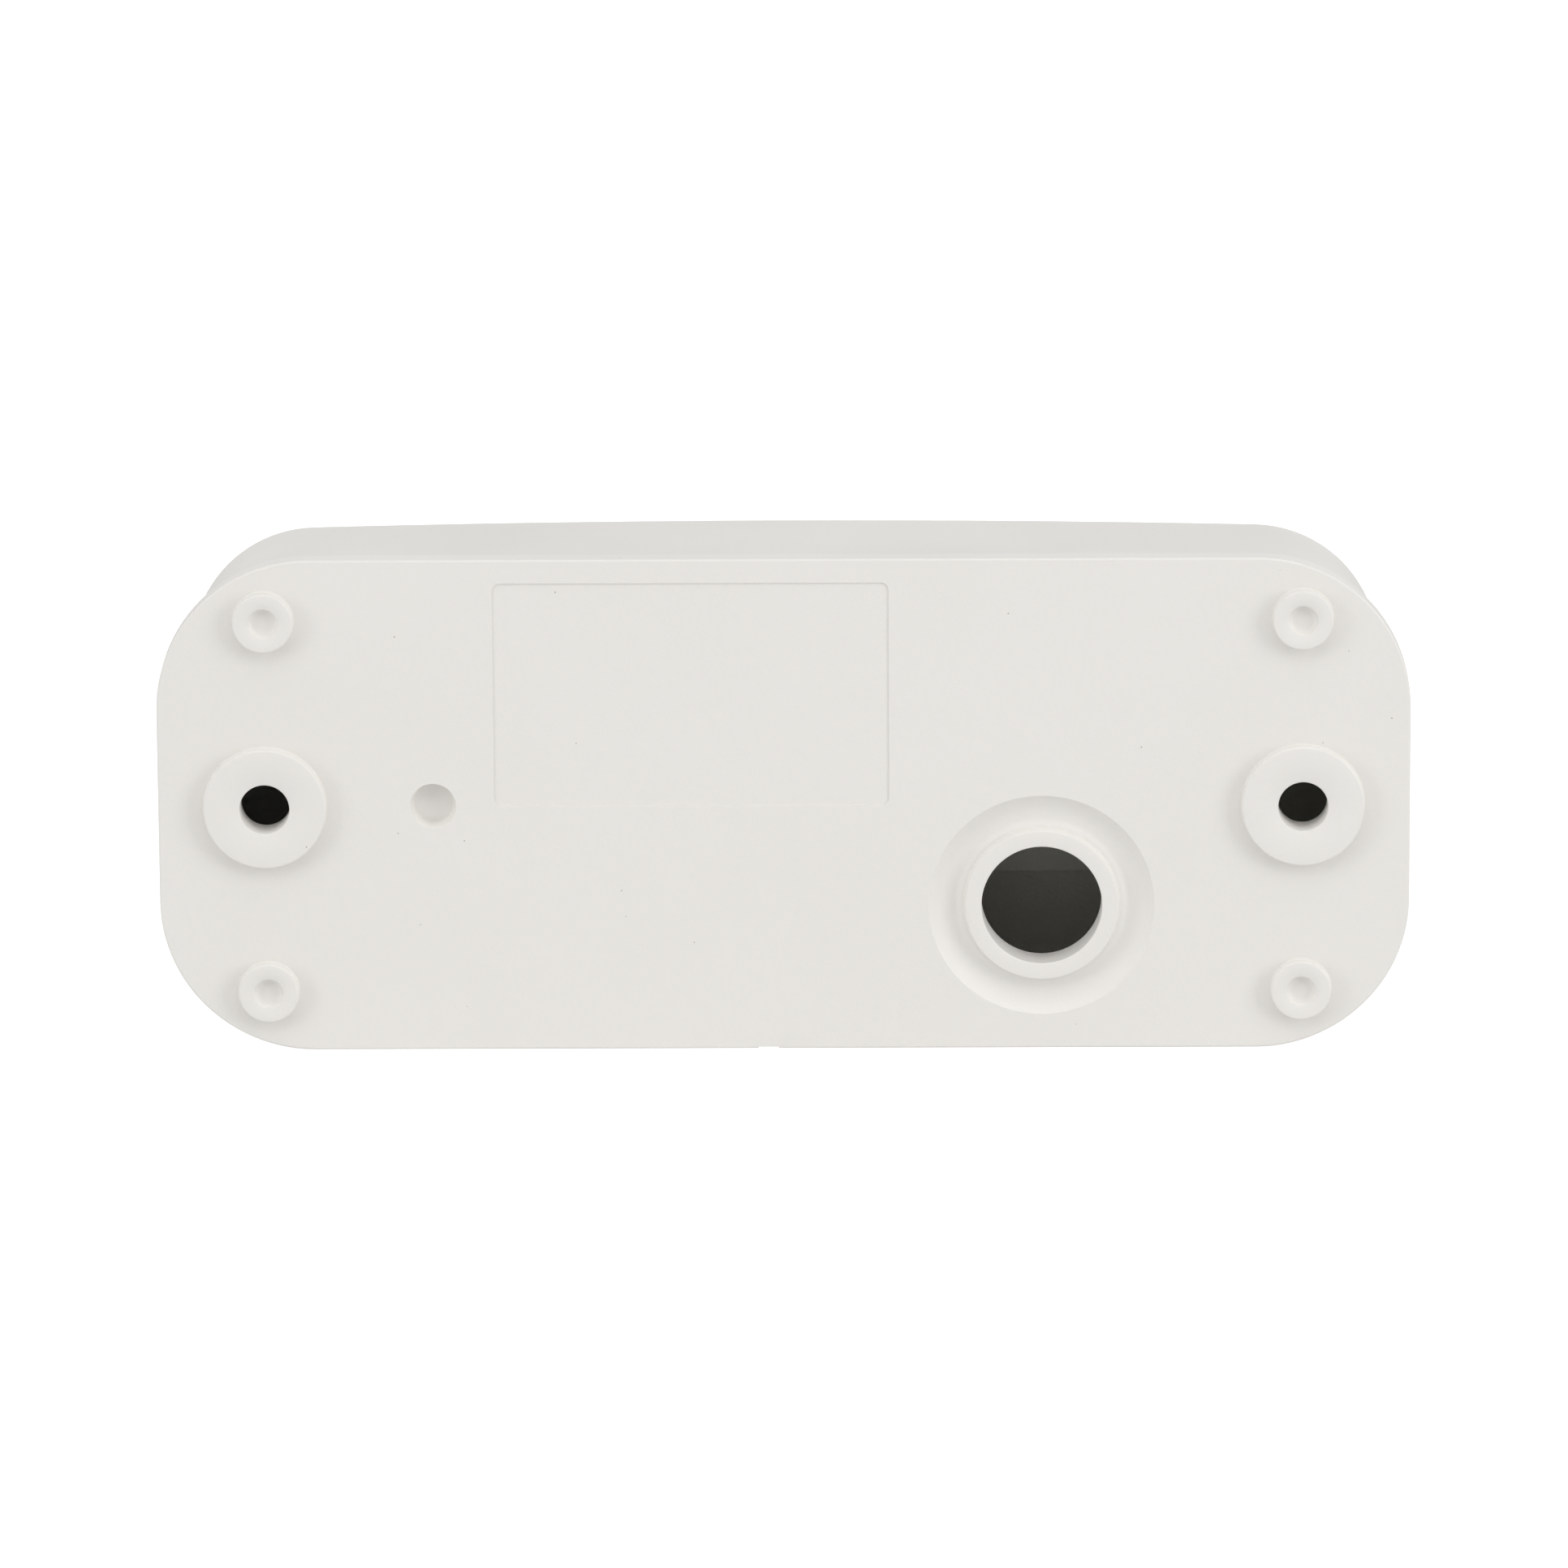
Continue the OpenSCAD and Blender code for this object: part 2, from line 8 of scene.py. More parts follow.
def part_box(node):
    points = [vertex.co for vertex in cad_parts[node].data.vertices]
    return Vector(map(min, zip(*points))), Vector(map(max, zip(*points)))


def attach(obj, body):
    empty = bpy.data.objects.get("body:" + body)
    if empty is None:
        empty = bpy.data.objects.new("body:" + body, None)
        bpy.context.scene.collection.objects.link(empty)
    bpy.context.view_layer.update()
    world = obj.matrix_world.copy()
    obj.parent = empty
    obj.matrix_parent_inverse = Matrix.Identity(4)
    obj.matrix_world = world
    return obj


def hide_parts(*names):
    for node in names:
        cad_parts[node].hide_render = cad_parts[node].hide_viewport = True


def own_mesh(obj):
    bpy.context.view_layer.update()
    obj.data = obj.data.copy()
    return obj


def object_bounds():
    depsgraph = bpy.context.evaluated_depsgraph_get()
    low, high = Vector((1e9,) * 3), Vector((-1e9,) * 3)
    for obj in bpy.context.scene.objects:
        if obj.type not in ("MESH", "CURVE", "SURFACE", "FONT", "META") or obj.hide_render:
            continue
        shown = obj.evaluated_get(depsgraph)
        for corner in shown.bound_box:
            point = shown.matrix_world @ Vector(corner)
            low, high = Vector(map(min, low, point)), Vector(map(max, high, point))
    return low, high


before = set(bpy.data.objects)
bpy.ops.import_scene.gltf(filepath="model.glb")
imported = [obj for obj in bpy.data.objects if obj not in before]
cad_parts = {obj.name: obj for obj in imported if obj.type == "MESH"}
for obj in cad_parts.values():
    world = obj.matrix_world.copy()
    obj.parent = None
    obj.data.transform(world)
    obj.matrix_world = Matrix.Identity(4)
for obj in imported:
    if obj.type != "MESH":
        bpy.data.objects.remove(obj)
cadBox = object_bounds()
print("frame loaded:", len(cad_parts), "nodes")

millimetre = 0.001
sliver = 0.001  # two points closer than this, in millimetres, are the same place


# Housing pieces are drawn in millimetres, lying on their back: x along the housing, y up it,
# and z away from the wall. standUp() turns a finished piece upright and into metres.

def deselectAll():
    active = bpy.context.view_layer.objects.active
    if active is not None and active.mode != "OBJECT":
        bpy.ops.object.mode_set(mode="OBJECT")
    bpy.ops.object.select_all(action="DESELECT")


def pick(piece):
    deselectAll()
    piece.select_set(True)
    bpy.context.view_layer.objects.active = piece


def startEdit(piece, mode="FACE"):
    pick(piece)
    bpy.ops.object.mode_set(mode="EDIT")
    bpy.ops.mesh.select_mode(type=mode)


def endEdit():
    bpy.ops.object.mode_set(mode="OBJECT")


def selectFaces(piece, test):
    mesh = bmesh.from_edit_mesh(piece.data)
    bpy.ops.mesh.select_all(action="DESELECT")
    for face in mesh.faces:
        face.select_set(test(face.calc_center_median(), face.normal))
    bmesh.update_edit_mesh(piece.data)


def selectEdges(piece, test):
    mesh = bmesh.from_edit_mesh(piece.data)
    bpy.ops.mesh.select_all(action="DESELECT")
    for edge in mesh.edges:
        edge.select_set(test(edge.verts[0].co, edge.verts[1].co))
    bmesh.update_edit_mesh(piece.data)


def closeUp(piece):
    startEdit(piece)
    bpy.ops.mesh.select_all(action="SELECT")
    bpy.ops.mesh.remove_doubles(threshold=sliver)
    bpy.ops.mesh.normals_make_consistent(inside=False)
    endEdit()


def outline(width, height, radius, level, segments=20, centre=(0, 0)):
    # a flat rounded rectangle
    deselectAll()
    bpy.ops.mesh.primitive_plane_add(size=1, location=(centre[0], centre[1], level))
    piece = bpy.context.object
    piece.scale = (width, height, 1)
    bpy.ops.object.transform_apply(location=True, rotation=True, scale=True)
    startEdit(piece, "VERT")
    bpy.ops.mesh.select_all(action="SELECT")
    bpy.ops.mesh.bevel(offset=radius, segments=segments, affect="VERTICES", clamp_overlap=False)
    endEdit()
    return piece


def slab(width, height, radius, low, high, segments=20, centre=(0, 0)):
    piece = outline(width, height, radius, low, segments, centre)
    startEdit(piece)
    bpy.ops.mesh.select_all(action="SELECT")
    bpy.ops.mesh.extrude_region_move(TRANSFORM_OT_translate={"value": (0, 0, high - low)})
    bpy.ops.mesh.select_all(action="SELECT")
    bpy.ops.mesh.normals_make_consistent(inside=False)
    endEdit()
    return piece


def rod(radius, low, high, centre=(0, 0), sides=64):
    deselectAll()
    bpy.ops.mesh.primitive_cylinder_add(vertices=sides, radius=radius, depth=high - low,
                                        location=(centre[0], centre[1], (low + high) / 2))
    bpy.ops.object.transform_apply(location=True, rotation=True, scale=True)
    return bpy.context.object


def block(left, bottom, low, right, top, high):
    deselectAll()
    bpy.ops.mesh.primitive_cube_add(size=1, location=((left + right) / 2, (bottom + top) / 2,
                                                      (low + high) / 2))
    piece = bpy.context.object
    piece.scale = (right - left, top - bottom, high - low)
    bpy.ops.object.transform_apply(location=True, rotation=True, scale=True)
    return piece


def spun(profile, centre=(0, 0), steps=72):
    # a turned shape: one point is drawn along the profile, and the line is spun round z
    deselectAll()
    bpy.ops.mesh.primitive_plane_add(size=1, location=(0, 0, 0))
    piece = bpy.context.object
    startEdit(piece, "VERT")
    bpy.ops.mesh.select_all(action="SELECT")
    bpy.ops.mesh.merge(type="CENTER")
    bpy.ops.transform.translate(value=(profile[0][0], 0, profile[0][1]))
    for here, after in zip(profile, profile[1:]):
        step = (after[0] - here[0], 0, after[1] - here[1])
        bpy.ops.mesh.extrude_region_move(TRANSFORM_OT_translate={"value": step})
    bpy.ops.mesh.select_all(action="SELECT")
    bpy.ops.mesh.spin(steps=steps, angle=2 * math.pi, center=(0, 0, 0), axis=(0, 0, 1))
    bpy.ops.mesh.select_all(action="SELECT")
    bpy.ops.transform.translate(value=(centre[0], centre[1], 0))
    bpy.ops.mesh.remove_doubles(threshold=sliver)
    bpy.ops.mesh.normals_make_consistent(inside=False)
    endEdit()
    return piece


def arc(centre, radius, start, end, count=6):
    # points on a quarter or so of a circle, angles in degrees
    angles = [math.radians(start + (end - start) * i / count) for i in range(count + 1)]
    return [(centre[0] + radius * math.cos(a), centre[1] + radius * math.sin(a)) for a in angles]


def together(pieces):
    deselectAll()
    for piece in pieces:
        piece.select_set(True)
    bpy.context.view_layer.objects.active = pieces[0]
    bpy.ops.object.join()
    return bpy.context.object


def combine(piece, tools, operation):
    tool = together(tools) if isinstance(tools, list) else tools
    pick(piece)
    cut = piece.modifiers.new("combine", "BOOLEAN")
    cut.operation = operation
    cut.solver = "EXACT"
    cut.object = tool
    bpy.ops.object.modifier_apply(modifier=cut.name)
    bpy.data.objects.remove(tool)
    return piece


def add(piece, *tools):
    for tool in tools:
        combine(piece, tool, "UNION")
    return piece


def cutAway(piece, *tools):
    for tool in tools:
        combine(piece, tool, "DIFFERENCE")
    return piece


def roundEdges(piece, test, radius, segments=4):
    startEdit(piece, "EDGE")
    selectEdges(piece, test)
    bpy.ops.mesh.bevel(offset=radius, segments=segments, affect="EDGES", clamp_overlap=True)
    endEdit()


def bothAt(level):
    return lambda a, b: abs(a.z - level) < sliver and abs(b.z - level) < sliver


def standUp(piece, name):
    piece.name = name
    piece.data.name = name
    pick(piece)
    piece.rotation_euler = (math.pi / 2, 0, 0)
    piece.scale = (millimetre, millimetre, millimetre)
    bpy.ops.object.transform_apply(location=True, rotation=True, scale=True)
    return piece


def smooth(piece, angle=32, weighted=True):
    # soft over small angles, with large flat faces kept flat
    pick(piece)
    bpy.ops.object.shade_smooth_by_angle(angle=math.radians(angle))
    if not weighted:
        return
    weigh = piece.modifiers.new("weigh", "WEIGHTED_NORMAL")
    weigh.keep_sharp = True
    bpy.ops.object.modifier_apply(modifier=weigh.name)


def sizeOf(node):
    low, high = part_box(node)
    return [(high[i] - low[i]) / millimetre for i in range(3)]


# Crowned front that the cover, its window and the window's layers share.

plateSize = sizeOf("base_plate")

crown = {
    "depth": 16.8,  # from the wall to the middle of the front
    "fall": 1.47,  # how much lower it is at fallAt on either side
    "fallAt": 30.0,
    "stripWidth": 2.4,  # spacing of the cuts that let the front curve
}
crownRadius = (crown["fallAt"] ** 2 + crown["fall"] ** 2) / (2 * crown["fall"])


def crownFall(x):
    return crownRadius - math.sqrt(crownRadius ** 2 - x * x)


def crownLevel(x):
    return crown["depth"] - crownFall(x)


def crownCuts(piece, halfLength):
    # cuts across the piece, so that it can follow the crown
    startEdit(piece)
    count = int(halfLength / crown["stripWidth"])
    for i in range(-count, count + 1):
        bpy.ops.mesh.select_all(action="SELECT")
        bpy.ops.mesh.bisect(plane_co=(i * crown["stripWidth"] + 0.013, 0, 0), plane_no=(1, 0, 0))
    endEdit()


def crownedLayer(width, height, radius, centreX, topSink, bottomSink):
    # a rounded slab whose faces lie that far below the crowned front
    piece = slab(width, height, radius, 1, 2, 8, (centreX, 0))
    crownCuts(piece, 40)
    for vertex in piece.data.vertices:
        sink = topSink if vertex.co.z > 1.5 else bottomSink
        vertex.co.z = crownLevel(vertex.co.x) - sink
    return piece


# Base plate: the back of the housing.

plate = {
    "length": plateSize[0],
    "height": plateSize[2],
    "cornerRadius": 10.2,
    "back": 0.8,  # level of the back face, which the bosses and feet hold off the wall
    "front": 2.4,
    "backEdge": 0.15,
    "frontEdge": 0.12,
    "rimLength": 76.776, "rimHeight": 28.552, "rimRadius": 7.2, "rimWall": 1.0,
    "rimFoot": 1.2, "rimTop": 5.8,
    "slotX": 18, "slotHalf": 4, "slotBottom": 4.1, "slotTop": 5.6,  # where the cover clips in
    "innerFoot": 1.3,  # posts, hook and pad start inside the plate, so that they join it
    "postX": 28, "postY": 9, "postRadius": 2.4, "postTop": 5.0,
    "pilotRadius": 1.1, "pilotBottom": 1.6,
    "hookLeft": -1.7, "hookHalf": 3, "hookTop": 4.9, "hookWall": 1.4,
    "hookLip": 3.7, "hookReach": 0.9,
    "bossX": 34.4, "bossRadius": 4.05, "holeRadius": 1.65,
    "footX": 34.33, "footY": 12.65, "footRadius": 2.0,
    "dimpleRadius": 1.0, "dimpleDepth": 0.48,
    "softEdge": 0.12,
    "rootFillet": 0.1,
    "gateX": 23.26, "gateRadius": 1.525, "gateDepth": 0.95, "gateLean": 0.16,
    "panelLeft": -7.0, "panelRight": 19.2, "panelTop": 15.15, "panelDepth": 0.08,
    "panelCorner": 0.5,
    "nickX": 1.1, "nickWidth": 1.35, "nickHeight": 0.13,
}

entry = {
    "x": -17.1, "y": -6.9,
    "holeRadius": 4.0,
    "collarRadius": 5.1, "collarLevel": 0.74,  # it stands a little proud of the back face
    "bowlRadius": 7.5, "bowlDepth": 0.64, "bowlRun": 1.7, "bowlPower": 2.4,
    "rootRise": 0.14,  # how the bowl's floor climbs to the collar
    "padRadius": 8.7, "padFront": 3.3,
    "softEdge": 0.08,
}


def raisedProfile(radius, innerPoints):
    # a low turned boss: inner points, soft top edge, side, and a fillet that runs into the plate
    soft, root, back = plate["softEdge"], plate["rootFillet"], plate["back"]
    sunk = back + 0.012
    return (innerPoints
            + arc((radius - soft, soft), soft, -90, 0, 5)
            + arc((radius + root, sunk - root), root, 180, 90, 6)
            + [(radius + root, back + 0.9), (0, back + 0.9)])


def makeFeet():
    radius, depth = plate["dimpleRadius"], plate["dimpleDepth"]
    dish = [(0, depth), (0.4 * radius, depth * 0.985), (0.66 * radius, depth * 0.92),
            (0.83 * radius, depth * 0.78), (0.92 * radius, depth * 0.56),
            (0.97 * radius, depth * 0.28), (0.99 * radius, depth * 0.05), (radius + 0.03, 0)]
    feet = []
    for sideX in (-1, 1):
        for sideY in (-1, 1):
            feet.append(spun(raisedProfile(plate["footRadius"], dish),
                             (sideX * plate["footX"], sideY * plate["footY"]), 48))
    return feet


def makeBosses():
    return [spun(raisedProfile(plate["bossRadius"], [(0, 0)]), (side * plate["bossX"], 0), 96)
            for side in (-1, 1)]


def bossHole(side):
    radius = plate["holeRadius"]
    return spun([(0, -1), (radius + 0.1, -1), (radius + 0.1, 0), (radius + 0.03, 0.03),
                 (radius, 0.1), (radius, plate["front"] + 1), (0, plate["front"] + 1)],
                (side * plate["bossX"], 0), 64)


def entryCutter():
    back, depth, run = plate["back"], entry["bowlDepth"], entry["bowlRun"]
    bowl, collar, soft = entry["bowlRadius"], entry["collarRadius"], entry["softEdge"]
    points = [(0, -1), (bowl + 0.02, -1), (bowl + 0.02, back - 0.02)]
    for i in range(15):
        out = 1 - i / 14
        points.append((bowl - run + run * out, back + depth * (1 - out ** entry["bowlPower"])))
    root = collar + 0.12
    for i in range(1, 9):
        along = 0.5 - 0.5 * math.cos(math.pi * i / 8)
        points.append((bowl - run - (bowl - run - root) * i / 8,
                       back + depth - entry["rootRise"] * along))
    level = entry["collarLevel"]
    points += arc((collar - soft, level + soft), soft, 0, -90, 4)
    hole = entry["holeRadius"]
    points += arc((hole + soft, level + soft), soft, -90, -180, 4)
    points += [(hole, entry["padFront"] + 1), (0, entry["padFront"] + 1)]
    return spun(points, (entry["x"], entry["y"]), 128)


def gateCutter():
    radius, depth, back = plate["gateRadius"], plate["gateDepth"], plate["back"]
    corner = 0.12
    points = [(0, back - 1), (radius + 0.02, back - 1), (radius + 0.02, back - 0.005),
              (radius, back + 0.03)]
    points += arc((radius - plate["gateLean"] - corner, back + depth - corner), corner, 10, 90, 4)
    points += [(0, back + depth)]
    return spun(points, (plate["gateX"], 0), 64)


def makePlate():
    body = slab(plate["length"], plate["height"], plate["cornerRadius"], plate["back"],
                plate["front"], 26)
    roundEdges(body, bothAt(plate["back"]), plate["backEdge"], 6)
    roundEdges(body, bothAt(plate["front"]), plate["frontEdge"], 2)
    foot, above = plate["innerFoot"], plate["rimTop"] + 1.2
    rim = slab(plate["rimLength"], plate["rimHeight"], plate["rimRadius"], plate["rimFoot"],
               plate["rimTop"])
    pad = rod(entry["padRadius"], foot, entry["padFront"], (entry["x"], entry["y"]), 96)
    pad = combine(pad, slab(plate["rimLength"] - 0.02, plate["rimHeight"] - 0.02,
                            plate["rimRadius"], 0.9, 6), "INTERSECT")
    wall = plate["rimWall"]
    hollow = slab(plate["rimLength"] - 2 * wall, plate["rimHeight"] - 2 * wall,
                  plate["rimRadius"] - wall, plate["front"], above)
    collar = rod(entry["collarRadius"] + 0.2, entry["collarLevel"] - 0.2, 1.5,
                 (entry["x"], entry["y"]), 96)
    postCentres = [(plate["postX"], side * plate["postY"]) for side in (-1, 1)]
    posts = [rod(plate["postRadius"], foot, plate["postTop"], centre, 40)
             for centre in postCentres]
    left, half, top = plate["hookLeft"], plate["hookHalf"], plate["hookTop"]
    hook = [block(left, -half, foot, left + plate["hookWall"], half, top),
            block(left + 0.01, 0.01 - half, plate["hookLip"], plate["hookReach"], half - 0.01,
                  top - 0.01)]
    add(body, rim)
    cutAway(body, hollow)
    add(body, pad, collar, posts, hook[0], hook[1], makeBosses(), makeFeet())
    print("base plate: body, rim, bosses and feet joined")
    panel = slab(plate["panelRight"] - plate["panelLeft"], plate["panelTop"], plate["panelCorner"],
                 -1, plate["back"] + plate["panelDepth"], 6,
                 ((plate["panelLeft"] + plate["panelRight"]) / 2, plate["panelTop"] / 2))
    holes = [bossHole(side) for side in (-1, 1)]
    slots = [block(x - plate["slotHalf"], -20, plate["slotBottom"], x + plate["slotHalf"], 20,
                   plate["slotTop"]) for x in (-plate["slotX"], plate["slotX"])]
    pilots = [rod(plate["pilotRadius"], plate["pilotBottom"], plate["postTop"] + 1, centre, 32)
              for centre in postCentres]
    nick = block(plate["nickX"] - plate["nickWidth"] / 2, -plate["height"] / 2 - 1, -1,
                 plate["nickX"] + plate["nickWidth"] / 2,
                 -plate["height"] / 2 + plate["nickHeight"], plate["front"] - 0.01)
    cutAway(body, panel, gateCutter(), entryCutter(), holes, slots, pilots, nick)
    closeUp(body)
    print("base plate: panel, entry, holes and slots cut")
    return body


basePlate = standUp(makePlate(), "basePlate")
smooth(basePlate)


# Cover: a crowned cap with a turret for the button and a pocket for the name window.

cover = {
    "foot": plate["front"],
    "footLength": 81.176, "footHeight": 32.952, "footRadius": 9.4,
    "edgeRadius": 3.0,
    "frontLength": 79.468, "frontHeight": 32.586, "frontRadius": 8.3,
    "wall": 1.8,
    "footEdge": 0.12,
    "windowX": -14.0, "windowLength": 30.0, "windowHeight": 13.0, "windowRadius": 2.0,
    "pocketDepth": 1.7, "padSink": 1.0, "padBottom": 12.8, "pocketEdge": 0.3,
    "padBorder": 1.2,  # how far the pad reaches past the window on each side
    "notchRadius": 1.6, "sealThickness": 0.4,
    "beadX": 18, "beadHalf": 3.5, "beadY": 14.426, "beadReach": 0.65,
    "beadBottom": 4.5, "beadTop": 5.2,
    "rebateLength": 78.776, "rebateHeight": 30.552, "rebateRadius": 8.2,
    "rebateBottom": 1.5, "rebateTop": 3.6,
}

turret = {
    "x": 19.0,
    "top": 16.9, "radius": 12.0, "softEdge": 0.8,
    "bore": 9.8, "boreEdge": 0.3,
    "ledge": 13.9, "well": 11.1,
    "collar": 12.6, "collarBottom": 10.4, "collarTop": 15.0,
}


def coverForm(inset, foot):
    # leaning wall between two outlines, then a rounded front edge, ring by ring
    edge = cover["edgeRadius"] - inset
    level = crown["depth"] - cover["edgeRadius"]
    low = outline(cover["footLength"] - 2 * inset, cover["footHeight"] - 2 * inset,
                  cover["footRadius"] - inset, foot, 22)
    high = outline(cover["frontLength"] - 2 * inset, cover["frontHeight"] - 2 * inset,
                   cover["frontRadius"] - inset, level, 22)
    piece = together([low, high])
    startEdit(piece, "EDGE")
    bpy.ops.mesh.select_all(action="SELECT")
    bpy.ops.mesh.delete(type="ONLY_FACE")
    bpy.ops.mesh.select_all(action="SELECT")
    bpy.ops.mesh.bridge_edge_loops()
    selectEdges(piece, bothAt(foot))
    bpy.ops.mesh.edge_face_add()
    selectEdges(piece, bothAt(level))
    bpy.ops.mesh.edge_face_add()
    bpy.ops.mesh.select_all(action="SELECT")
    bpy.ops.mesh.normals_make_consistent(inside=False)
    bpy.ops.mesh.select_mode(type="FACE")
    selectFaces(piece, lambda centre, normal: normal.z > 0.9)
    rings = 10
    for i in range(rings):
        here, after = (math.radians(90 * k / rings) for k in (i, i + 1))
        bpy.ops.mesh.inset(thickness=edge * (math.cos(here) - math.cos(after)),
                           depth=edge * (math.sin(after) - math.sin(here)))
    endEdit()
    crownCuts(piece, cover["footLength"] / 2)
    lowerToCrown(piece, inset, foot)
    closeUp(piece)
    return piece


def lowerToCrown(piece, inset, foot):
    # each ring of the edge falls as far as the middle of its rounding does
    endX = cover["frontLength"] / 2 - cover["edgeRadius"]
    endY = cover["frontHeight"] / 2 - cover["edgeRadius"]
    bend = cover["frontRadius"] - cover["edgeRadius"]
    for vertex in piece.data.vertices:
        if vertex.co.z < foot + 1:
            continue
        x, y = abs(vertex.co.x), abs(vertex.co.y)
        acrossX, acrossY = x - (endX - bend), y - (endY - bend)
        reach = math.hypot(acrossX, acrossY)
        if acrossX > 0 and acrossY > 0 and reach > bend:
            x = endX - bend + bend * acrossX / reach
        vertex.co.z -= crownFall(min(x, endX))


def turretRing():
    top, soft, lip = turret["top"], turret["softEdge"], turret["boreEdge"]
    points = [(turret["well"], turret["collarBottom"]), (turret["collar"], turret["collarBottom"]),
              (turret["collar"], turret["collarTop"]), (turret["radius"], turret["collarTop"])]
    points += arc((turret["radius"] - soft, top - soft), soft, 0, 90, 8)
    points += arc((turret["bore"] + lip, top - lip), lip, 90, 180, 5)
    points += [(turret["bore"], turret["ledge"]), (turret["well"], turret["ledge"]),
               (turret["well"], turret["collarBottom"])]
    return spun(points, (turret["x"], 0), 128)


def onPocketRim(a, b):
    # edges of the crowned front along the window's pocket and its notch
    for point in (a, b):
        x = abs(point.x - cover["windowX"]) - cover["windowLength"] / 2 + cover["windowRadius"]
        y = abs(point.y) - cover["windowHeight"] / 2 + cover["windowRadius"]
        edge = math.hypot(max(x, 0), max(y, 0)) + min(max(x, y), 0) - cover["windowRadius"]
        if abs(edge) > 0.02 or abs(point.z - crownLevel(point.x)) > 0.02:
            return False
    return True


def makeCover():
    shell = coverForm(0, cover["foot"])
    roundEdges(shell, bothAt(cover["foot"]), cover["footEdge"], 2)
    cutAway(shell, coverForm(cover["wall"], cover["foot"] - 0.5))
    print("cover: shell hollowed")
    bore = rod(turret["well"] + 0.4, 8, 20, (turret["x"], 0), 128)
    cutAway(shell, bore)
    add(shell, turretRing())
    border = cover["padBorder"]
    pad = crownedLayer(cover["windowLength"] + 2 * border, cover["windowHeight"] + 2 * border,
                       border, cover["windowX"], cover["padSink"], 3)
    for vertex in pad.data.vertices:
        if vertex.co.z < crownLevel(vertex.co.x) - 2:
            vertex.co.z = cover["padBottom"]
    half, reach = cover["beadHalf"], cover["beadReach"]
    beads = [block(x - half, y - reach, cover["beadBottom"], x + half, y + reach,
                   cover["beadTop"])
             for x in (-cover["beadX"], cover["beadX"])
             for y in (-cover["beadY"], cover["beadY"])]
    add(shell, pad, beads)
    rebate = slab(cover["rebateLength"], cover["rebateHeight"], cover["rebateRadius"],
                  cover["rebateBottom"], cover["rebateTop"], 22)
    pocket = crownedLayer(cover["windowLength"], cover["windowHeight"], cover["windowRadius"],
                          cover["windowX"], -2, cover["pocketDepth"])
    notchX = cover["windowX"] - cover["windowLength"] / 2
    notchLevel = crownLevel(notchX) - cover["pocketDepth"] + cover["sealThickness"]
    notch = rod(cover["notchRadius"], notchLevel, 20, (notchX, 0), 48)
    cutAway(shell, rebate, pocket)
    closeUp(shell)
    roundEdges(shell, onPocketRim, cover["pocketEdge"], 4)
    cutAway(shell, notch)
    closeUp(shell)
    print("cover: turret, pad, pocket and notch made")
    return shell


frontCover = standUp(makeCover(), "frontCover")
smooth(frontCover)


# Window glass in its pocket.

glass = {"sink": 0.15, "bottom": 1.25, "gap": 0.1, "edge": 0.25}


def makeGlass():
    piece = crownedLayer(cover["windowLength"] - 2 * glass["gap"],
                         cover["windowHeight"] - 2 * glass["gap"],
                         cover["windowRadius"] - glass["gap"], cover["windowX"],
                         glass["sink"], glass["bottom"])

    def alongTop(a, b):
        level = all(abs(p.z - crownLevel(p.x) + glass["sink"]) < 0.01 for p in (a, b))
        edge = all(abs(abs(p.y) - cover["windowHeight"] / 2 + glass["gap"]) < 2 * sliver
                   or abs(p.x - cover["windowX"]) > cover["windowLength"] / 2 - 2.1 for p in (a, b))
        across = abs(a.x - b.x) < sliver and abs(a.y - b.y) > 5
        ends = abs(abs(a.x - cover["windowX"]) - cover["windowLength"] / 2 + glass["gap"]) < 0.01
        return level and edge and (ends or not across)

    roundEdges(piece, alongTop, glass["edge"], 3)
    closeUp(piece)
    return piece


windowGlass = standUp(makeGlass(), "windowGlass")
smooth(windowGlass)
print("window glass made")


# Push button, with a dished face and a bell sign let into it.

button = {
    "x": 19.0, "radius": 9.5, "top": 18.6,
    "dishLow": 18.1, "dishRadius": 90.0,
    "softEdge": 1.2,
    "skirt": 12.8, "flangeRadius": 10.8, "flangeTop": 13.8,
    "capWall": 1.5, "ceiling": 16.6,
    "hubRadius": 3.2, "hubBottom": 12.03, "studRadius": 1.5, "studBottom": 9.97,
    "signSink": 0.02,  # how far the sign lies below the face
    "signDepth": 0.3,
    "rollOver": [(8.76, 18.497), (8.63, 18.512), (8.48, 18.506), (8.3, 18.49)],  # radius, level
    "dishRings": (8.1, 7.6, 7, 6.3, 5.6, 4.9, 4.2, 3.5, 2.8, 2.1, 1.4, 0.7, 0),
}


def dishLevel(radius):
    sphere = button["dishRadius"]
    return button["dishLow"] + sphere - math.sqrt(sphere ** 2 - radius ** 2)


def buttonFace(sink, bottom):
    # solid under the dished face: a soft outer edge that rolls over into the dish
    radius, soft, top = button["radius"], button["softEdge"], button["top"]
    points = bottom + arc((radius - soft, top - soft), soft, 0, 62, 8)
    points += button["rollOver"] + [(r, dishLevel(r)) for r in button["dishRings"]]
    return spun([(r, z - sink) for r, z in points], (button["x"], 0), 128)


bell = {
    "rounds": ((1.9, 1.2, 72), (0.55, 3.1, 40), (0.9, -2.2, 48)),  # radius, height, sides
    "skirtHalf": 2.9, "skirtBottom": -1.9, "skirtTop": 1.5,
    "topHalf": 1.85, "flareHalf": 2.05, "flareFrom": -0.6,
}


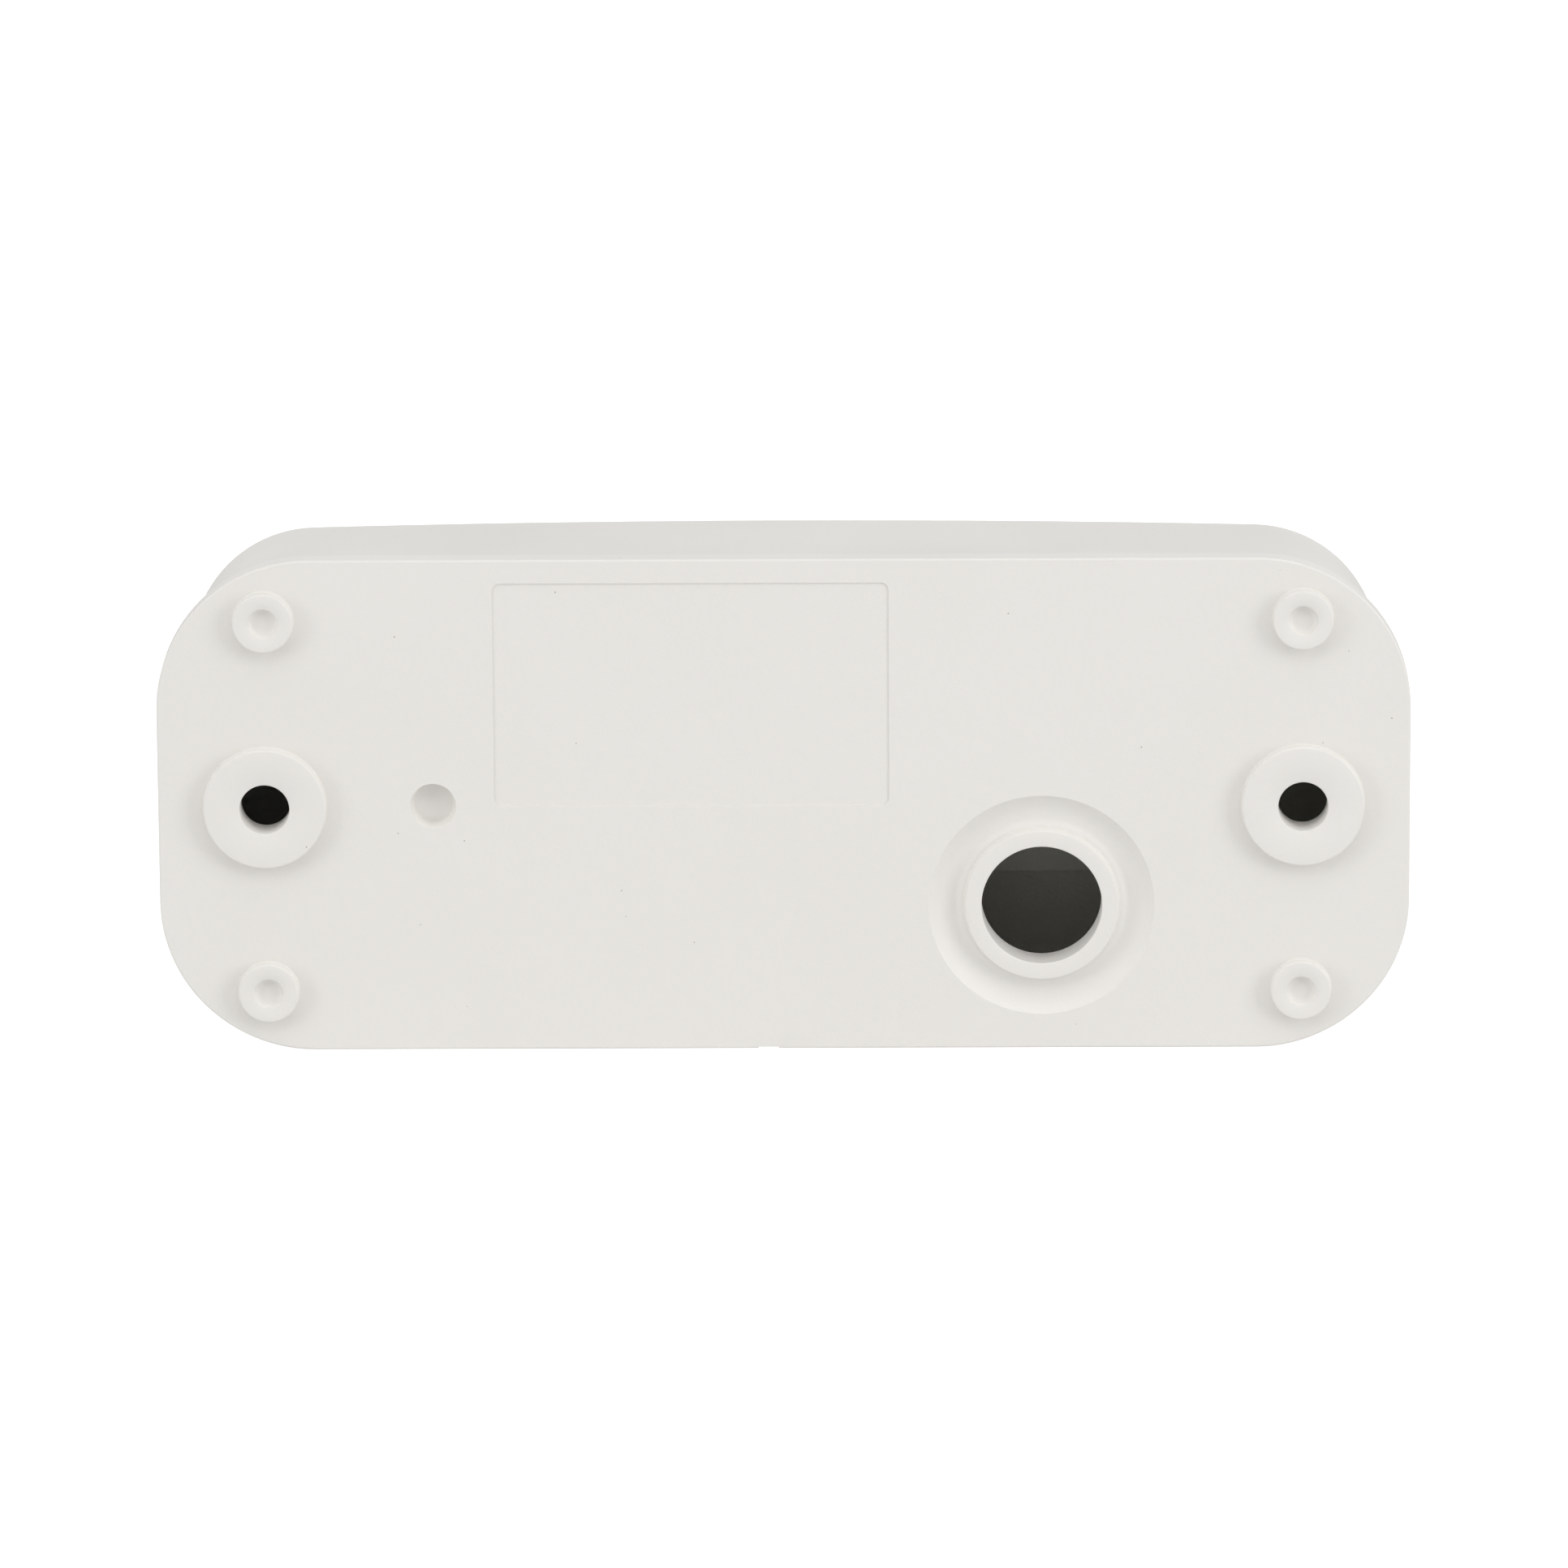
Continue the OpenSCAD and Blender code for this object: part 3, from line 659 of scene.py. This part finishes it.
def bellPrism(low, high):
    # loop, dome, flared skirt and clapper
    x = button["x"]
    parts = [rod(radius, low, high, (x, y), sides) for radius, y, sides in bell["rounds"]]
    skirt = block(x - bell["skirtHalf"], bell["skirtBottom"], low, x + bell["skirtHalf"],
                  bell["skirtTop"], high)
    startEdit(skirt)
    bpy.ops.mesh.select_all(action="SELECT")
    bpy.ops.mesh.bisect(plane_co=(0, bell["flareFrom"], 0), plane_no=(0, 1, 0))
    endEdit()
    for vertex in skirt.data.vertices:
        side = 1 if vertex.co.x > x else -1
        if vertex.co.y > 1:
            vertex.co.x = x + side * bell["topHalf"]
        elif vertex.co.y > -1:
            vertex.co.x = x + side * bell["flareHalf"]
    return add(skirt, *parts)


def makeButton():
    low, radius, wall = button["skirt"], button["radius"], button["capWall"]
    inside = [(0, button["studBottom"]), (button["studRadius"], button["studBottom"]),
              (button["studRadius"], button["hubBottom"]),
              (button["hubRadius"], button["hubBottom"]),
              (button["hubRadius"], button["ceiling"]), (radius - wall, button["ceiling"]),
              (radius - wall, low), (button["flangeRadius"], low),
              (button["flangeRadius"], button["flangeTop"]), (radius, button["flangeTop"])]
    cap = buttonFace(0, inside)
    cutAway(cap, bellPrism(button["dishLow"] - button["signDepth"], button["top"] + 1))
    closeUp(cap)
    return cap


def makeBellSign():
    sign = bellPrism(button["dishLow"] - button["signDepth"], button["top"] + 1)
    sign = combine(sign, buttonFace(button["signSink"], [(0, 17), (button["radius"], 17)]),
                   "INTERSECT")
    closeUp(sign)
    return sign


pushButton = standUp(makeButton(), "pushButton")
smooth(pushButton, weighted=False)
bellSign = standUp(makeBellSign(), "bellSign")
smooth(bellSign)
print("push button and its bell sign made")


# Return spring: a wire led round a helix, with end turns that lie flat.

spring = {
    "x": 19.0, "radius": 3.3, "wireRadius": 0.2, "wireSides": 12,
    "low": 3.83, "high": 8.32,  # middle of the wire at either end
    "seat": 3.6,  # level of the floor that the spring stands on
    "turns": 4.5, "flatTurns": 0.9, "stepsPerTurn": 24,
}


def springLevel(turn):
    # level of the wire's middle after that many turns
    share = (turn - spring["flatTurns"]) / (spring["turns"] - 2 * spring["flatTurns"])
    return spring["low"] + (spring["high"] - spring["low"]) * min(1, max(0, share))


def makeSpring():
    deselectAll()
    bpy.ops.mesh.primitive_circle_add(
        vertices=spring["wireSides"], radius=spring["wireRadius"], fill_type="NGON",
        location=(spring["x"] + spring["radius"], 0, spring["low"]), rotation=(math.pi / 2, 0, 0))
    bpy.ops.object.transform_apply(location=True, rotation=True, scale=True)
    piece = bpy.context.object
    startEdit(piece)
    bpy.ops.mesh.select_all(action="SELECT")
    perTurn = spring["stepsPerTurn"]
    for i in range(int(spring["turns"] * perTurn)):
        bpy.ops.mesh.spin(steps=1, angle=2 * math.pi / perTurn, center=(spring["x"], 0, 0),
                          axis=(0, 0, 1))
        climb = springLevel((i + 1) / perTurn) - springLevel(i / perTurn)
        bpy.ops.transform.translate(value=(0, 0, climb))
    bpy.ops.mesh.select_all(action="SELECT")
    bpy.ops.mesh.normals_make_consistent(inside=False)
    endEdit()
    return piece


returnSpring = standUp(makeSpring(), "returnSpring")
smooth(returnSpring, weighted=False)
print("return spring made")


# Effects that several finishes share, each a group with named inputs and outputs.

def newGroup(name, inputs, outputs):
    group = bpy.data.node_groups.new(name, "ShaderNodeTree")
    for label, kind, value in inputs:
        socket = group.interface.new_socket(label, in_out="INPUT", socket_type=kind)
        if value is not None:
            socket.default_value = value
    for label, kind in outputs:
        group.interface.new_socket(label, in_out="OUTPUT", socket_type=kind)
    return group, group.nodes.new("NodeGroupInput"), group.nodes.new("NodeGroupOutput")


def place(tree, kind, links=None, **settings):
    # adds a node, sets its values, and joins its inputs
    node = tree.nodes.new(kind)
    for key, value in settings.items():
        setattr(node, key, value)
    for key, value in (links or {}).items():
        if isinstance(value, bpy.types.NodeSocket):
            tree.links.new(value, node.inputs[key])
        else:
            node.inputs[key].default_value = value
    return node


def mathNode(tree, a, b, operation="ADD"):
    return place(tree, "ShaderNodeMath", {0: a, 1: b}, operation=operation).outputs[0]


def makeToneDrift():
    # slow drift between two tones, as in moulded plastic or rolled metal
    group, source, result = newGroup(
        "toneDrift",
        [("Vector", "NodeSocketVector", None), ("Tone", "NodeSocketColor", (1, 1, 1, 1)),
         ("Other Tone", "NodeSocketColor", (1, 1, 1, 1)), ("Scale", "NodeSocketFloat", 60.0)],
        [("Color", "NodeSocketColor"), ("Mask", "NodeSocketFloat")])
    wide = place(group, "ShaderNodeTexNoise", {"Vector": source.outputs["Vector"],
                 "Scale": source.outputs["Scale"], "Detail": 3.0, "Roughness": 0.55})
    spread = place(group, "ShaderNodeMapRange", {"Value": wide.outputs[0], "From Min": 0.32,
                   "From Max": 0.68}, interpolation_type="SMOOTHSTEP")
    mix = place(group, "ShaderNodeMix", {0: spread.outputs[0], 6: source.outputs["Tone"],
                7: source.outputs["Other Tone"]}, data_type="RGBA")
    group.links.new(mix.outputs[2], result.inputs["Color"])
    group.links.new(spread.outputs[0], result.inputs["Mask"])
    return group


def makeFineGrain():
    # spark-eroded grain: a fine pebble with a softer, wider roll under it
    group, source, result = newGroup(
        "fineGrain",
        [("Vector", "NodeSocketVector", None), ("Scale", "NodeSocketFloat", 5000.0),
         ("Roll", "NodeSocketFloat", 0.4)],
        [("Height", "NodeSocketFloat"), ("Mask", "NodeSocketFloat")])
    pebble = place(group, "ShaderNodeTexNoise", {"Vector": source.outputs["Vector"],
                   "Scale": source.outputs["Scale"], "Detail": 2.0, "Roughness": 0.6})
    rollScale = mathNode(group, source.outputs["Scale"], 0.12, "MULTIPLY")
    roll = place(group, "ShaderNodeTexNoise", {"Vector": source.outputs["Vector"],
                 "Scale": rollScale, "Detail": 1.0})
    rolled = mathNode(group, roll.outputs[0], source.outputs["Roll"], "MULTIPLY")
    group.links.new(mathNode(group, pebble.outputs[0], rolled), result.inputs["Height"])
    group.links.new(pebble.outputs[0], result.inputs["Mask"])
    return group


def makeEdgeWear():
    # a broken mask along convex edges
    group, source, result = newGroup(
        "edgeWear",
        [("Vector", "NodeSocketVector", None), ("Width", "NodeSocketFloat", 0.0003),
         ("Break Up", "NodeSocketFloat", 900.0)],
        [("Mask", "NodeSocketFloat")])
    geometry = place(group, "ShaderNodeNewGeometry")
    soft = place(group, "ShaderNodeBevel", {"Radius": source.outputs["Width"]}, samples=4)
    turn = place(group, "ShaderNodeVectorMath", {0: soft.outputs[0],
                 1: geometry.outputs["Normal"]}, operation="DOT_PRODUCT")
    edge = place(group, "ShaderNodeMapRange", {"Value": turn.outputs["Value"], "From Min": 0.995,
                 "From Max": 0.86})
    noise = place(group, "ShaderNodeTexNoise", {"Vector": source.outputs["Vector"],
                  "Scale": source.outputs["Break Up"], "Detail": 3.0})
    broken = place(group, "ShaderNodeMapRange", {"Value": noise.outputs[0], "From Min": 0.38,
                   "From Max": 0.62})
    group.links.new(mathNode(group, edge.outputs[0], broken.outputs[0], "MULTIPLY"),
                    result.inputs["Mask"])
    return group


def makeSpecks():
    # sparse dark specks: one cell in many holds a dot
    group, source, result = newGroup(
        "specks",
        [("Vector", "NodeSocketVector", None), ("Scale", "NodeSocketFloat", 400.0),
         ("Share", "NodeSocketFloat", 0.03), ("Size", "NodeSocketFloat", 0.12)],
        [("Mask", "NodeSocketFloat")])
    cells = place(group, "ShaderNodeTexVoronoi", {"Vector": source.outputs["Vector"],
                  "Scale": source.outputs["Scale"]})
    pickOne = place(group, "ShaderNodeSeparateColor", {"Color": cells.outputs["Color"]})
    chosen = mathNode(group, pickOne.outputs[0], source.outputs["Share"], "LESS_THAN")
    dot = mathNode(group, cells.outputs["Distance"], source.outputs["Size"], "LESS_THAN")
    group.links.new(mathNode(group, chosen, dot, "MULTIPLY"), result.inputs["Mask"])
    return group


def makeDrawLines():
    # fine lines along one direction, as on drawn wire or rolled strip
    group, source, result = newGroup(
        "drawLines",
        [("Vector", "NodeSocketVector", None), ("Stretch", "NodeSocketVector", (200, 4000, 4000))],
        [("Height", "NodeSocketFloat"), ("Mask", "NodeSocketFloat")])
    stretched = place(group, "ShaderNodeVectorMath", {0: source.outputs["Vector"],
                      1: source.outputs["Stretch"]}, operation="MULTIPLY")
    lines = place(group, "ShaderNodeTexNoise", {"Vector": stretched.outputs[0], "Scale": 1.0,
                  "Detail": 3.0, "Roughness": 0.6})
    group.links.new(lines.outputs[0], result.inputs["Height"])
    group.links.new(lines.outputs[0], result.inputs["Mask"])
    return group


effects = {
    "toneDrift": makeToneDrift(),
    "fineGrain": makeFineGrain(),
    "edgeWear": makeEdgeWear(),
    "specks": makeSpecks(),
    "drawLines": makeDrawLines(),
}


def placeEffect(tree, name, links):
    return place(tree, "ShaderNodeGroup", links, node_tree=effects[name])


def blendColour(tree, mask, a, b):
    return place(tree, "ShaderNodeMix", {0: mask, 6: a, 7: b}, data_type="RGBA").outputs[2]


def scaled(tree, value, low, high):
    return place(tree, "ShaderNodeMapRange", {"Value": value, "To Min": low,
                                              "To Max": high}).outputs[0]


def opaque(colour):
    return (*colour, 1)


def makeFinish(name, look):
    # one material: drifting tone, worn edges, specks, uneven roughness and grain
    material = bpy.data.materials.new(name)
    material.use_nodes = True
    tree = material.node_tree
    shader = tree.nodes["Principled BSDF"]
    where = place(tree, "ShaderNodeTexCoord").outputs["Object"]
    tone = placeEffect(tree, "toneDrift", {"Vector": where, "Tone": opaque(look["tone"]),
                       "Other Tone": opaque(look["otherTone"]), "Scale": look["driftScale"]})
    colour = tone.outputs["Color"]
    rough = scaled(tree, tone.outputs["Mask"], look["roughness"][0], look["roughness"][1])
    wear = placeEffect(tree, "edgeWear", {"Vector": where, "Width": look["edgeWidth"],
                       "Break Up": look["edgeBreakUp"]})
    amount = mathNode(tree, wear.outputs["Mask"], look["edgeAmount"], "MULTIPLY")
    colour = blendColour(tree, amount, colour, opaque(look["edgeTone"]))
    specks = placeEffect(tree, "specks", {"Vector": where, "Scale": look["speckScale"],
                         "Share": look["speckShare"], "Size": look["speckSize"]})
    colour = blendColour(tree, mathNode(tree, specks.outputs["Mask"], look["speckAmount"],
                                    "MULTIPLY"), colour, opaque(look["speckTone"]))
    if "lines" in look:
        grain = placeEffect(tree, "drawLines", {"Vector": where, "Stretch": look["lines"]})
        lineRough = mathNode(tree, grain.outputs["Mask"], look["lineRoughness"], "MULTIPLY")
        rough = mathNode(tree, rough, lineRough)
    else:
        grain = placeEffect(tree, "fineGrain", {"Vector": where, "Scale": look["grainScale"],
                            "Roll": look["grainRoll"]})
    bump = place(tree, "ShaderNodeBump", {"Height": grain.outputs["Height"],
                 "Strength": look["bumpStrength"], "Distance": look["bumpDepth"]})
    tree.links.new(colour, shader.inputs["Base Color"])
    tree.links.new(rough, shader.inputs["Roughness"])
    tree.links.new(bump.outputs[0], shader.inputs["Normal"])
    for socket, value in look.get("shader", {}).items():
        shader.inputs[socket].default_value = value
    return material


mouldedWhite = {
    "tone": (0.800, 0.782, 0.748), "otherTone": (0.788, 0.770, 0.735), "driftScale": 45.0,
    "roughness": (0.42, 0.52),
    "edgeTone": (0.85, 0.84, 0.81), "edgeAmount": 0.35, "edgeWidth": 0.00022, "edgeBreakUp": 700.0,
    "speckTone": (0.30, 0.27, 0.22), "speckAmount": 0.7, "speckScale": 667.0,
    "speckShare": 0.22, "speckSize": 0.036,
    "grainScale": 4200.0, "grainRoll": 0.5, "bumpStrength": 0.25, "bumpDepth": 0.00004,
    "shader": {"Specular IOR Level": 0.4},
}


def variedFrom(base, **changes):
    look = dict(base)
    look.update(changes)
    return look


finishes = {
    "mouldedWhite": makeFinish("mouldedWhite", mouldedWhite),
    # a slightly darker copy of the same white plastic: painted shade for the cover, whose sides
    # catch less light than the plate
    "coverShadedWhite": makeFinish("coverShadedWhite", variedFrom(
        mouldedWhite, tone=(0.766, 0.749, 0.717), otherTone=(0.754, 0.737, 0.704))),
    # a darker grey copy of the white plastic for the cover's inner faces: painted shade standing in
    # for the dim light inside the closed housing
    "insideShadeGrey": makeFinish("insideShadeGrey", variedFrom(
        mouldedWhite, tone=(0.58, 0.575, 0.525), otherTone=(0.48, 0.475, 0.43),
        roughness=(0.55, 0.7))),
    "buttonWhite": makeFinish("buttonWhite", variedFrom(
        mouldedWhite, tone=(0.83, 0.82, 0.80), otherTone=(0.81, 0.80, 0.775),
        roughness=(0.26, 0.36), grainScale=5200.0, bumpStrength=0.12)),
    "greyInlay": makeFinish("greyInlay", variedFrom(
        mouldedWhite, tone=(0.075, 0.085, 0.10), otherTone=(0.09, 0.10, 0.115),
        edgeTone=(0.2, 0.21, 0.22), roughness=(0.35, 0.5), speckTone=(0.3, 0.3, 0.3))),
    "sealRubber": makeFinish("sealRubber", variedFrom(
        mouldedWhite, tone=(0.035, 0.036, 0.038), otherTone=(0.05, 0.05, 0.052),
        edgeTone=(0.1, 0.1, 0.1), roughness=(0.55, 0.75), grainScale=3200.0, bumpStrength=0.35,
        speckTone=(0.25, 0.24, 0.22), speckShare=0.12)),
    "membraneRubber": makeFinish("membraneRubber", variedFrom(
        mouldedWhite, tone=(0.27, 0.27, 0.265), otherTone=(0.32, 0.32, 0.31),
        edgeTone=(0.4, 0.4, 0.39), roughness=(0.5, 0.65), grainScale=2600.0)),
    "innerPlastic": makeFinish("innerPlastic", variedFrom(
        mouldedWhite, tone=(0.66, 0.65, 0.62), otherTone=(0.6, 0.59, 0.56),
        roughness=(0.4, 0.55))),
    "carrierPlastic": makeFinish("carrierPlastic", variedFrom(
        mouldedWhite, tone=(0.58, 0.54, 0.45), otherTone=(0.52, 0.48, 0.40),
        roughness=(0.45, 0.6), speckShare=0.15)),
    "contactBrass": makeFinish("contactBrass", variedFrom(
        mouldedWhite, tone=(0.78, 0.56, 0.25), otherTone=(0.62, 0.42, 0.18), driftScale=260.0,
        edgeTone=(0.9, 0.74, 0.42), edgeAmount=0.7, roughness=(0.2, 0.34),
        speckTone=(0.3, 0.18, 0.08), lines=(260, 5200, 5200), lineRoughness=0.14,
        bumpStrength=0.12, bumpDepth=0.00001,
        shader={"Metallic": 1.0})),
    "tipSilver": makeFinish("tipSilver", variedFrom(
        mouldedWhite, tone=(0.86, 0.85, 0.82), otherTone=(0.7, 0.68, 0.63), driftScale=700.0,
        edgeTone=(0.93, 0.92, 0.9), roughness=(0.22, 0.36), grainScale=6500.0,
        speckTone=(0.25, 0.2, 0.15), speckShare=0.2, shader={"Metallic": 1.0})),
    "zincSteel": makeFinish("zincSteel", variedFrom(
        mouldedWhite, tone=(0.62, 0.64, 0.66), otherTone=(0.5, 0.51, 0.52), driftScale=420.0,
        edgeTone=(0.8, 0.8, 0.8), edgeAmount=0.7, roughness=(0.24, 0.4),
        lines=(3600, 3600, 420), lineRoughness=0.12, bumpStrength=0.12, bumpDepth=0.00001,
        speckTone=(0.25, 0.23, 0.2), shader={"Metallic": 1.0})),
    "springSteel": makeFinish("springSteel", variedFrom(
        mouldedWhite, tone=(0.48, 0.49, 0.5), otherTone=(0.38, 0.38, 0.38), driftScale=500.0,
        edgeTone=(0.7, 0.7, 0.7), roughness=(0.22, 0.34), lines=(900, 5200, 900),
        lineRoughness=0.12, bumpStrength=0.1, bumpDepth=0.00001, shader={"Metallic": 1.0})),
    "labelCard": makeFinish("labelCard", variedFrom(
        mouldedWhite, tone=(0.88, 0.87, 0.84), otherTone=(0.85, 0.84, 0.805), driftScale=160.0,
        roughness=(0.7, 0.85), grainScale=2600.0, grainRoll=0.9, bumpStrength=0.4,
        bumpDepth=0.00003, speckTone=(0.6, 0.56, 0.48), speckScale=2400.0, speckShare=0.05,
        speckSize=0.12)),
    "clearPlastic": makeFinish("clearPlastic", variedFrom(
        mouldedWhite, tone=(0.995, 0.998, 0.998), otherTone=(0.98, 0.987, 0.987),
        edgeTone=(0.94, 0.95, 0.955), roughness=(0.03, 0.08), grainScale=900.0,
        bumpStrength=0.05, bumpDepth=0.00001, speckShare=0.01,
        shader={"Transmission Weight": 1.0, "IOR": 1.58, "Alpha": 0.4})),
}
print("finishes made:", len(finishes))

nodeFinishes = {
    "cover_gasket": "sealRubber", "window_seal": "sealRubber", "name_card": "labelCard",
    "button_membrane": "membraneRubber", "membrane_ring": "innerPlastic",
    "plunger": "innerPlastic", "contact_bridge": "contactBrass", "bridge_tips": "tipSilver",
    "bridge_washer": "zincSteel", "contact_carrier": "carrierPlastic",
    "carrier_screws": "zincSteel", "fixed_contact_upper": "contactBrass",
    "fixed_contact_lower": "contactBrass", "fixed_tips": "tipSilver",
    "clamp_plates": "zincSteel", "terminal_screw_upper": "zincSteel",
    "terminal_screw_lower": "zincSteel",
}
for node, finish in nodeFinishes.items():
    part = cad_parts[node]
    if not part.material_slots:
        part.data.materials.append(finishes[finish])
    for materialSlot in part.material_slots:
        materialSlot.material = finishes[finish]

for piece, finish, body, node, slotName in (
        (basePlate, "mouldedWhite", "housing", "base_plate", "white_plastic"),
        (frontCover, "coverShadedWhite", "housing", "front_cover", "white_plastic"),
        (windowGlass, "clearPlastic", "housing", "window_lens", "clear_lens"),
        (pushButton, "buttonWhite", "button", "push_button", "button_plastic"),
        (bellSign, "greyInlay", "button", "bell_symbol", "grey_print"),
        (returnSpring, "springSteel", "housing", "return_spring", "spring_steel")):
    piece.data.materials.clear()
    piece.data.materials.append(finishes[finish])
    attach(piece, body)
    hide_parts(node)

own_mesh(returnSpring)


midWall = {"halfLength": 39.0, "halfHeight": 15.5, "radius": 7.4}  # outline inside the wall


def insideCover(centre):
    # within the middle of the cover's wall, and below its front
    x, y, z = centre.x / millimetre, centre.z / millimetre, -centre.y / millimetre
    bend = midWall["radius"]
    acrossX, acrossY = abs(x) - midWall["halfLength"] + bend, abs(y) - midWall["halfHeight"] + bend
    reach = math.hypot(max(acrossX, 0), max(acrossY, 0)) + min(max(acrossX, acrossY), 0) - bend
    inTurret = math.hypot(x - turret["x"], y) < turret["well"] + 0.5
    return reach < 0 and z < crownLevel(x) - cover["wall"] + 0.25 and not inTurret


def onPocketWall(centre):
    x, y, z = centre.x / millimetre, centre.z / millimetre, -centre.y / millimetre
    return (abs(x - cover["windowX"]) < cover["windowLength"] / 2 + 0.2
            and abs(y) < cover["windowHeight"] / 2 + 0.2 and z > cover["padBottom"] + 0.1)


# the cover's inner faces take the darker grey: painted shade inside the cavity, seen through the
# screw holes and the cable entry
frontCover.data.materials.append(finishes["insideShadeGrey"])
for polygon in frontCover.data.polygons:
    inside = insideCover(polygon.center) and not onPocketWall(polygon.center)
    polygon.material_index = 1 if inside else 0
print("pieces finished and placed on their bodies")


# Floor, light and camera.

studio = {
    "floorLevel": cadBox[0][2],
    "floorSize": 6.0,
    "floorTone": 0.5,
    "floorGlow": 0.30,  # light that the floor sends up to the piece
    "floorSeen": 0.85,  # its own brightness in view, so that it reads as pale
    "worldStrength": 0.564,
    "distance": 1.0,
    "softboxes": {  # bearing from the back face, height angle, width, height, power
        "overhead": (0, 75, 1.2, 0.35, 1.2),
        "high": (0, 55, 1.2, 0.35, 1.79),
        "left": (62, 15, 0.35, 0.8, 2.46),
        "right": (-62, 15, 0.35, 0.8, 3.56),
        "front": (180, 4, 0.7, 0.4, 0.8),
    },
}


def seenOr(tree, seen, sent):
    # one value for what the camera sees directly, another for the light that is sent on
    path = place(tree, "ShaderNodeLightPath")
    return scaled(tree, path.outputs["Is Camera Ray"], sent, seen)


def makeFloor():
    deselectAll()
    bpy.ops.mesh.primitive_plane_add(size=studio["floorSize"],
                                     location=(0, 0, studio["floorLevel"]))
    floor = bpy.context.object
    floor.name = "floor"
    material = bpy.data.materials.new("paleFloor")
    material.use_nodes = True
    tree = material.node_tree
    shader = tree.nodes["Principled BSDF"]
    shader.inputs["Base Color"].default_value = opaque([studio["floorTone"]] * 3)
    shader.inputs["Roughness"].default_value = 0.9
    shader.inputs["Specular IOR Level"].default_value = 0.0
    shader.inputs["Emission Color"].default_value = (1, 1, 1, 1)
    tree.links.new(seenOr(tree, studio["floorSeen"], studio["floorGlow"]),
                   shader.inputs["Emission Strength"])
    floor.data.materials.append(material)


def makeSoftbox(name, bearing, rise, width, height, power):
    across, up = math.radians(bearing), math.radians(rise)
    direction = Vector((math.sin(across) * math.cos(up), math.cos(across) * math.cos(up),
                        math.sin(up)))
    light = bpy.data.lights.new(name, "AREA")
    light.shape = "RECTANGLE"
    light.size, light.size_y = width, height
    light.energy = power
    lamp = bpy.data.objects.new(name, light)
    bpy.context.scene.collection.objects.link(lamp)
    lamp.location = direction * studio["distance"]
    lamp.rotation_euler = (-direction).to_track_quat("-Z", "Y").to_euler()


def makeWorld():
    world = bpy.data.worlds.new("studio")
    world.use_nodes = True
    tree = world.node_tree
    sky = tree.nodes["Background"]
    sky.inputs["Color"].default_value = (1, 1, 1, 1)
    tree.links.new(seenOr(tree, 1.0, studio["worldStrength"]), sky.inputs["Strength"])
    bpy.context.scene.world = world


view = {
    "distance": 0.742, "lens": 257.03, "tilt": 14.46, "yaw": 0.66, "roll": 0.34,
    "right": -0.00002, "up": -0.00141, "backFace": 0.0008,
}


def turnAbout(axis, degrees):
    # turns in a frame with x right, y up and z away from the camera
    angle = math.radians(degrees)
    c, s = math.cos(angle), math.sin(angle)
    rows = {"x": ((1, 0, 0), (0, c, s), (0, -s, c)), "y": ((c, 0, s), (0, 1, 0), (-s, 0, c)),
            "z": ((c, -s, 0), (s, c, 0), (0, 0, 1))}
    return Matrix(rows[axis])


def makeCamera():
    turned = (turnAbout("z", view["roll"]) @ turnAbout("x", view["tilt"])
              @ turnAbout("y", view["yaw"]))
    facing = turned @ Matrix(((-1, 0, 0), (0, 0, 1), (0, -1, 0)))
    offset = turned @ Vector((0, 0, -view["backFace"]))
    offset += Vector((view["right"], view["up"], view["distance"]))
    position = -(facing.transposed() @ offset)
    right, up, away = facing[0], facing[1], facing[2]
    world = Matrix((right, up, -away)).transposed().to_4x4()
    world.translation = position
    lens = bpy.data.cameras.new("camera")
    lens.sensor_width = 36.0
    lens.lens = view["lens"]
    lens.clip_start = 0.01
    lens.clip_end = 20.0
    camera = bpy.data.objects.new("camera", lens)
    camera.matrix_world = world
    bpy.context.scene.collection.objects.link(camera)
    bpy.context.scene.camera = camera


makeFloor()
makeWorld()
for name, setting in studio["softboxes"].items():
    makeSoftbox(name, *setting)
makeCamera()
bpy.context.scene.view_settings.view_transform = "Standard"
deselectAll()
print("floor, light and camera set")
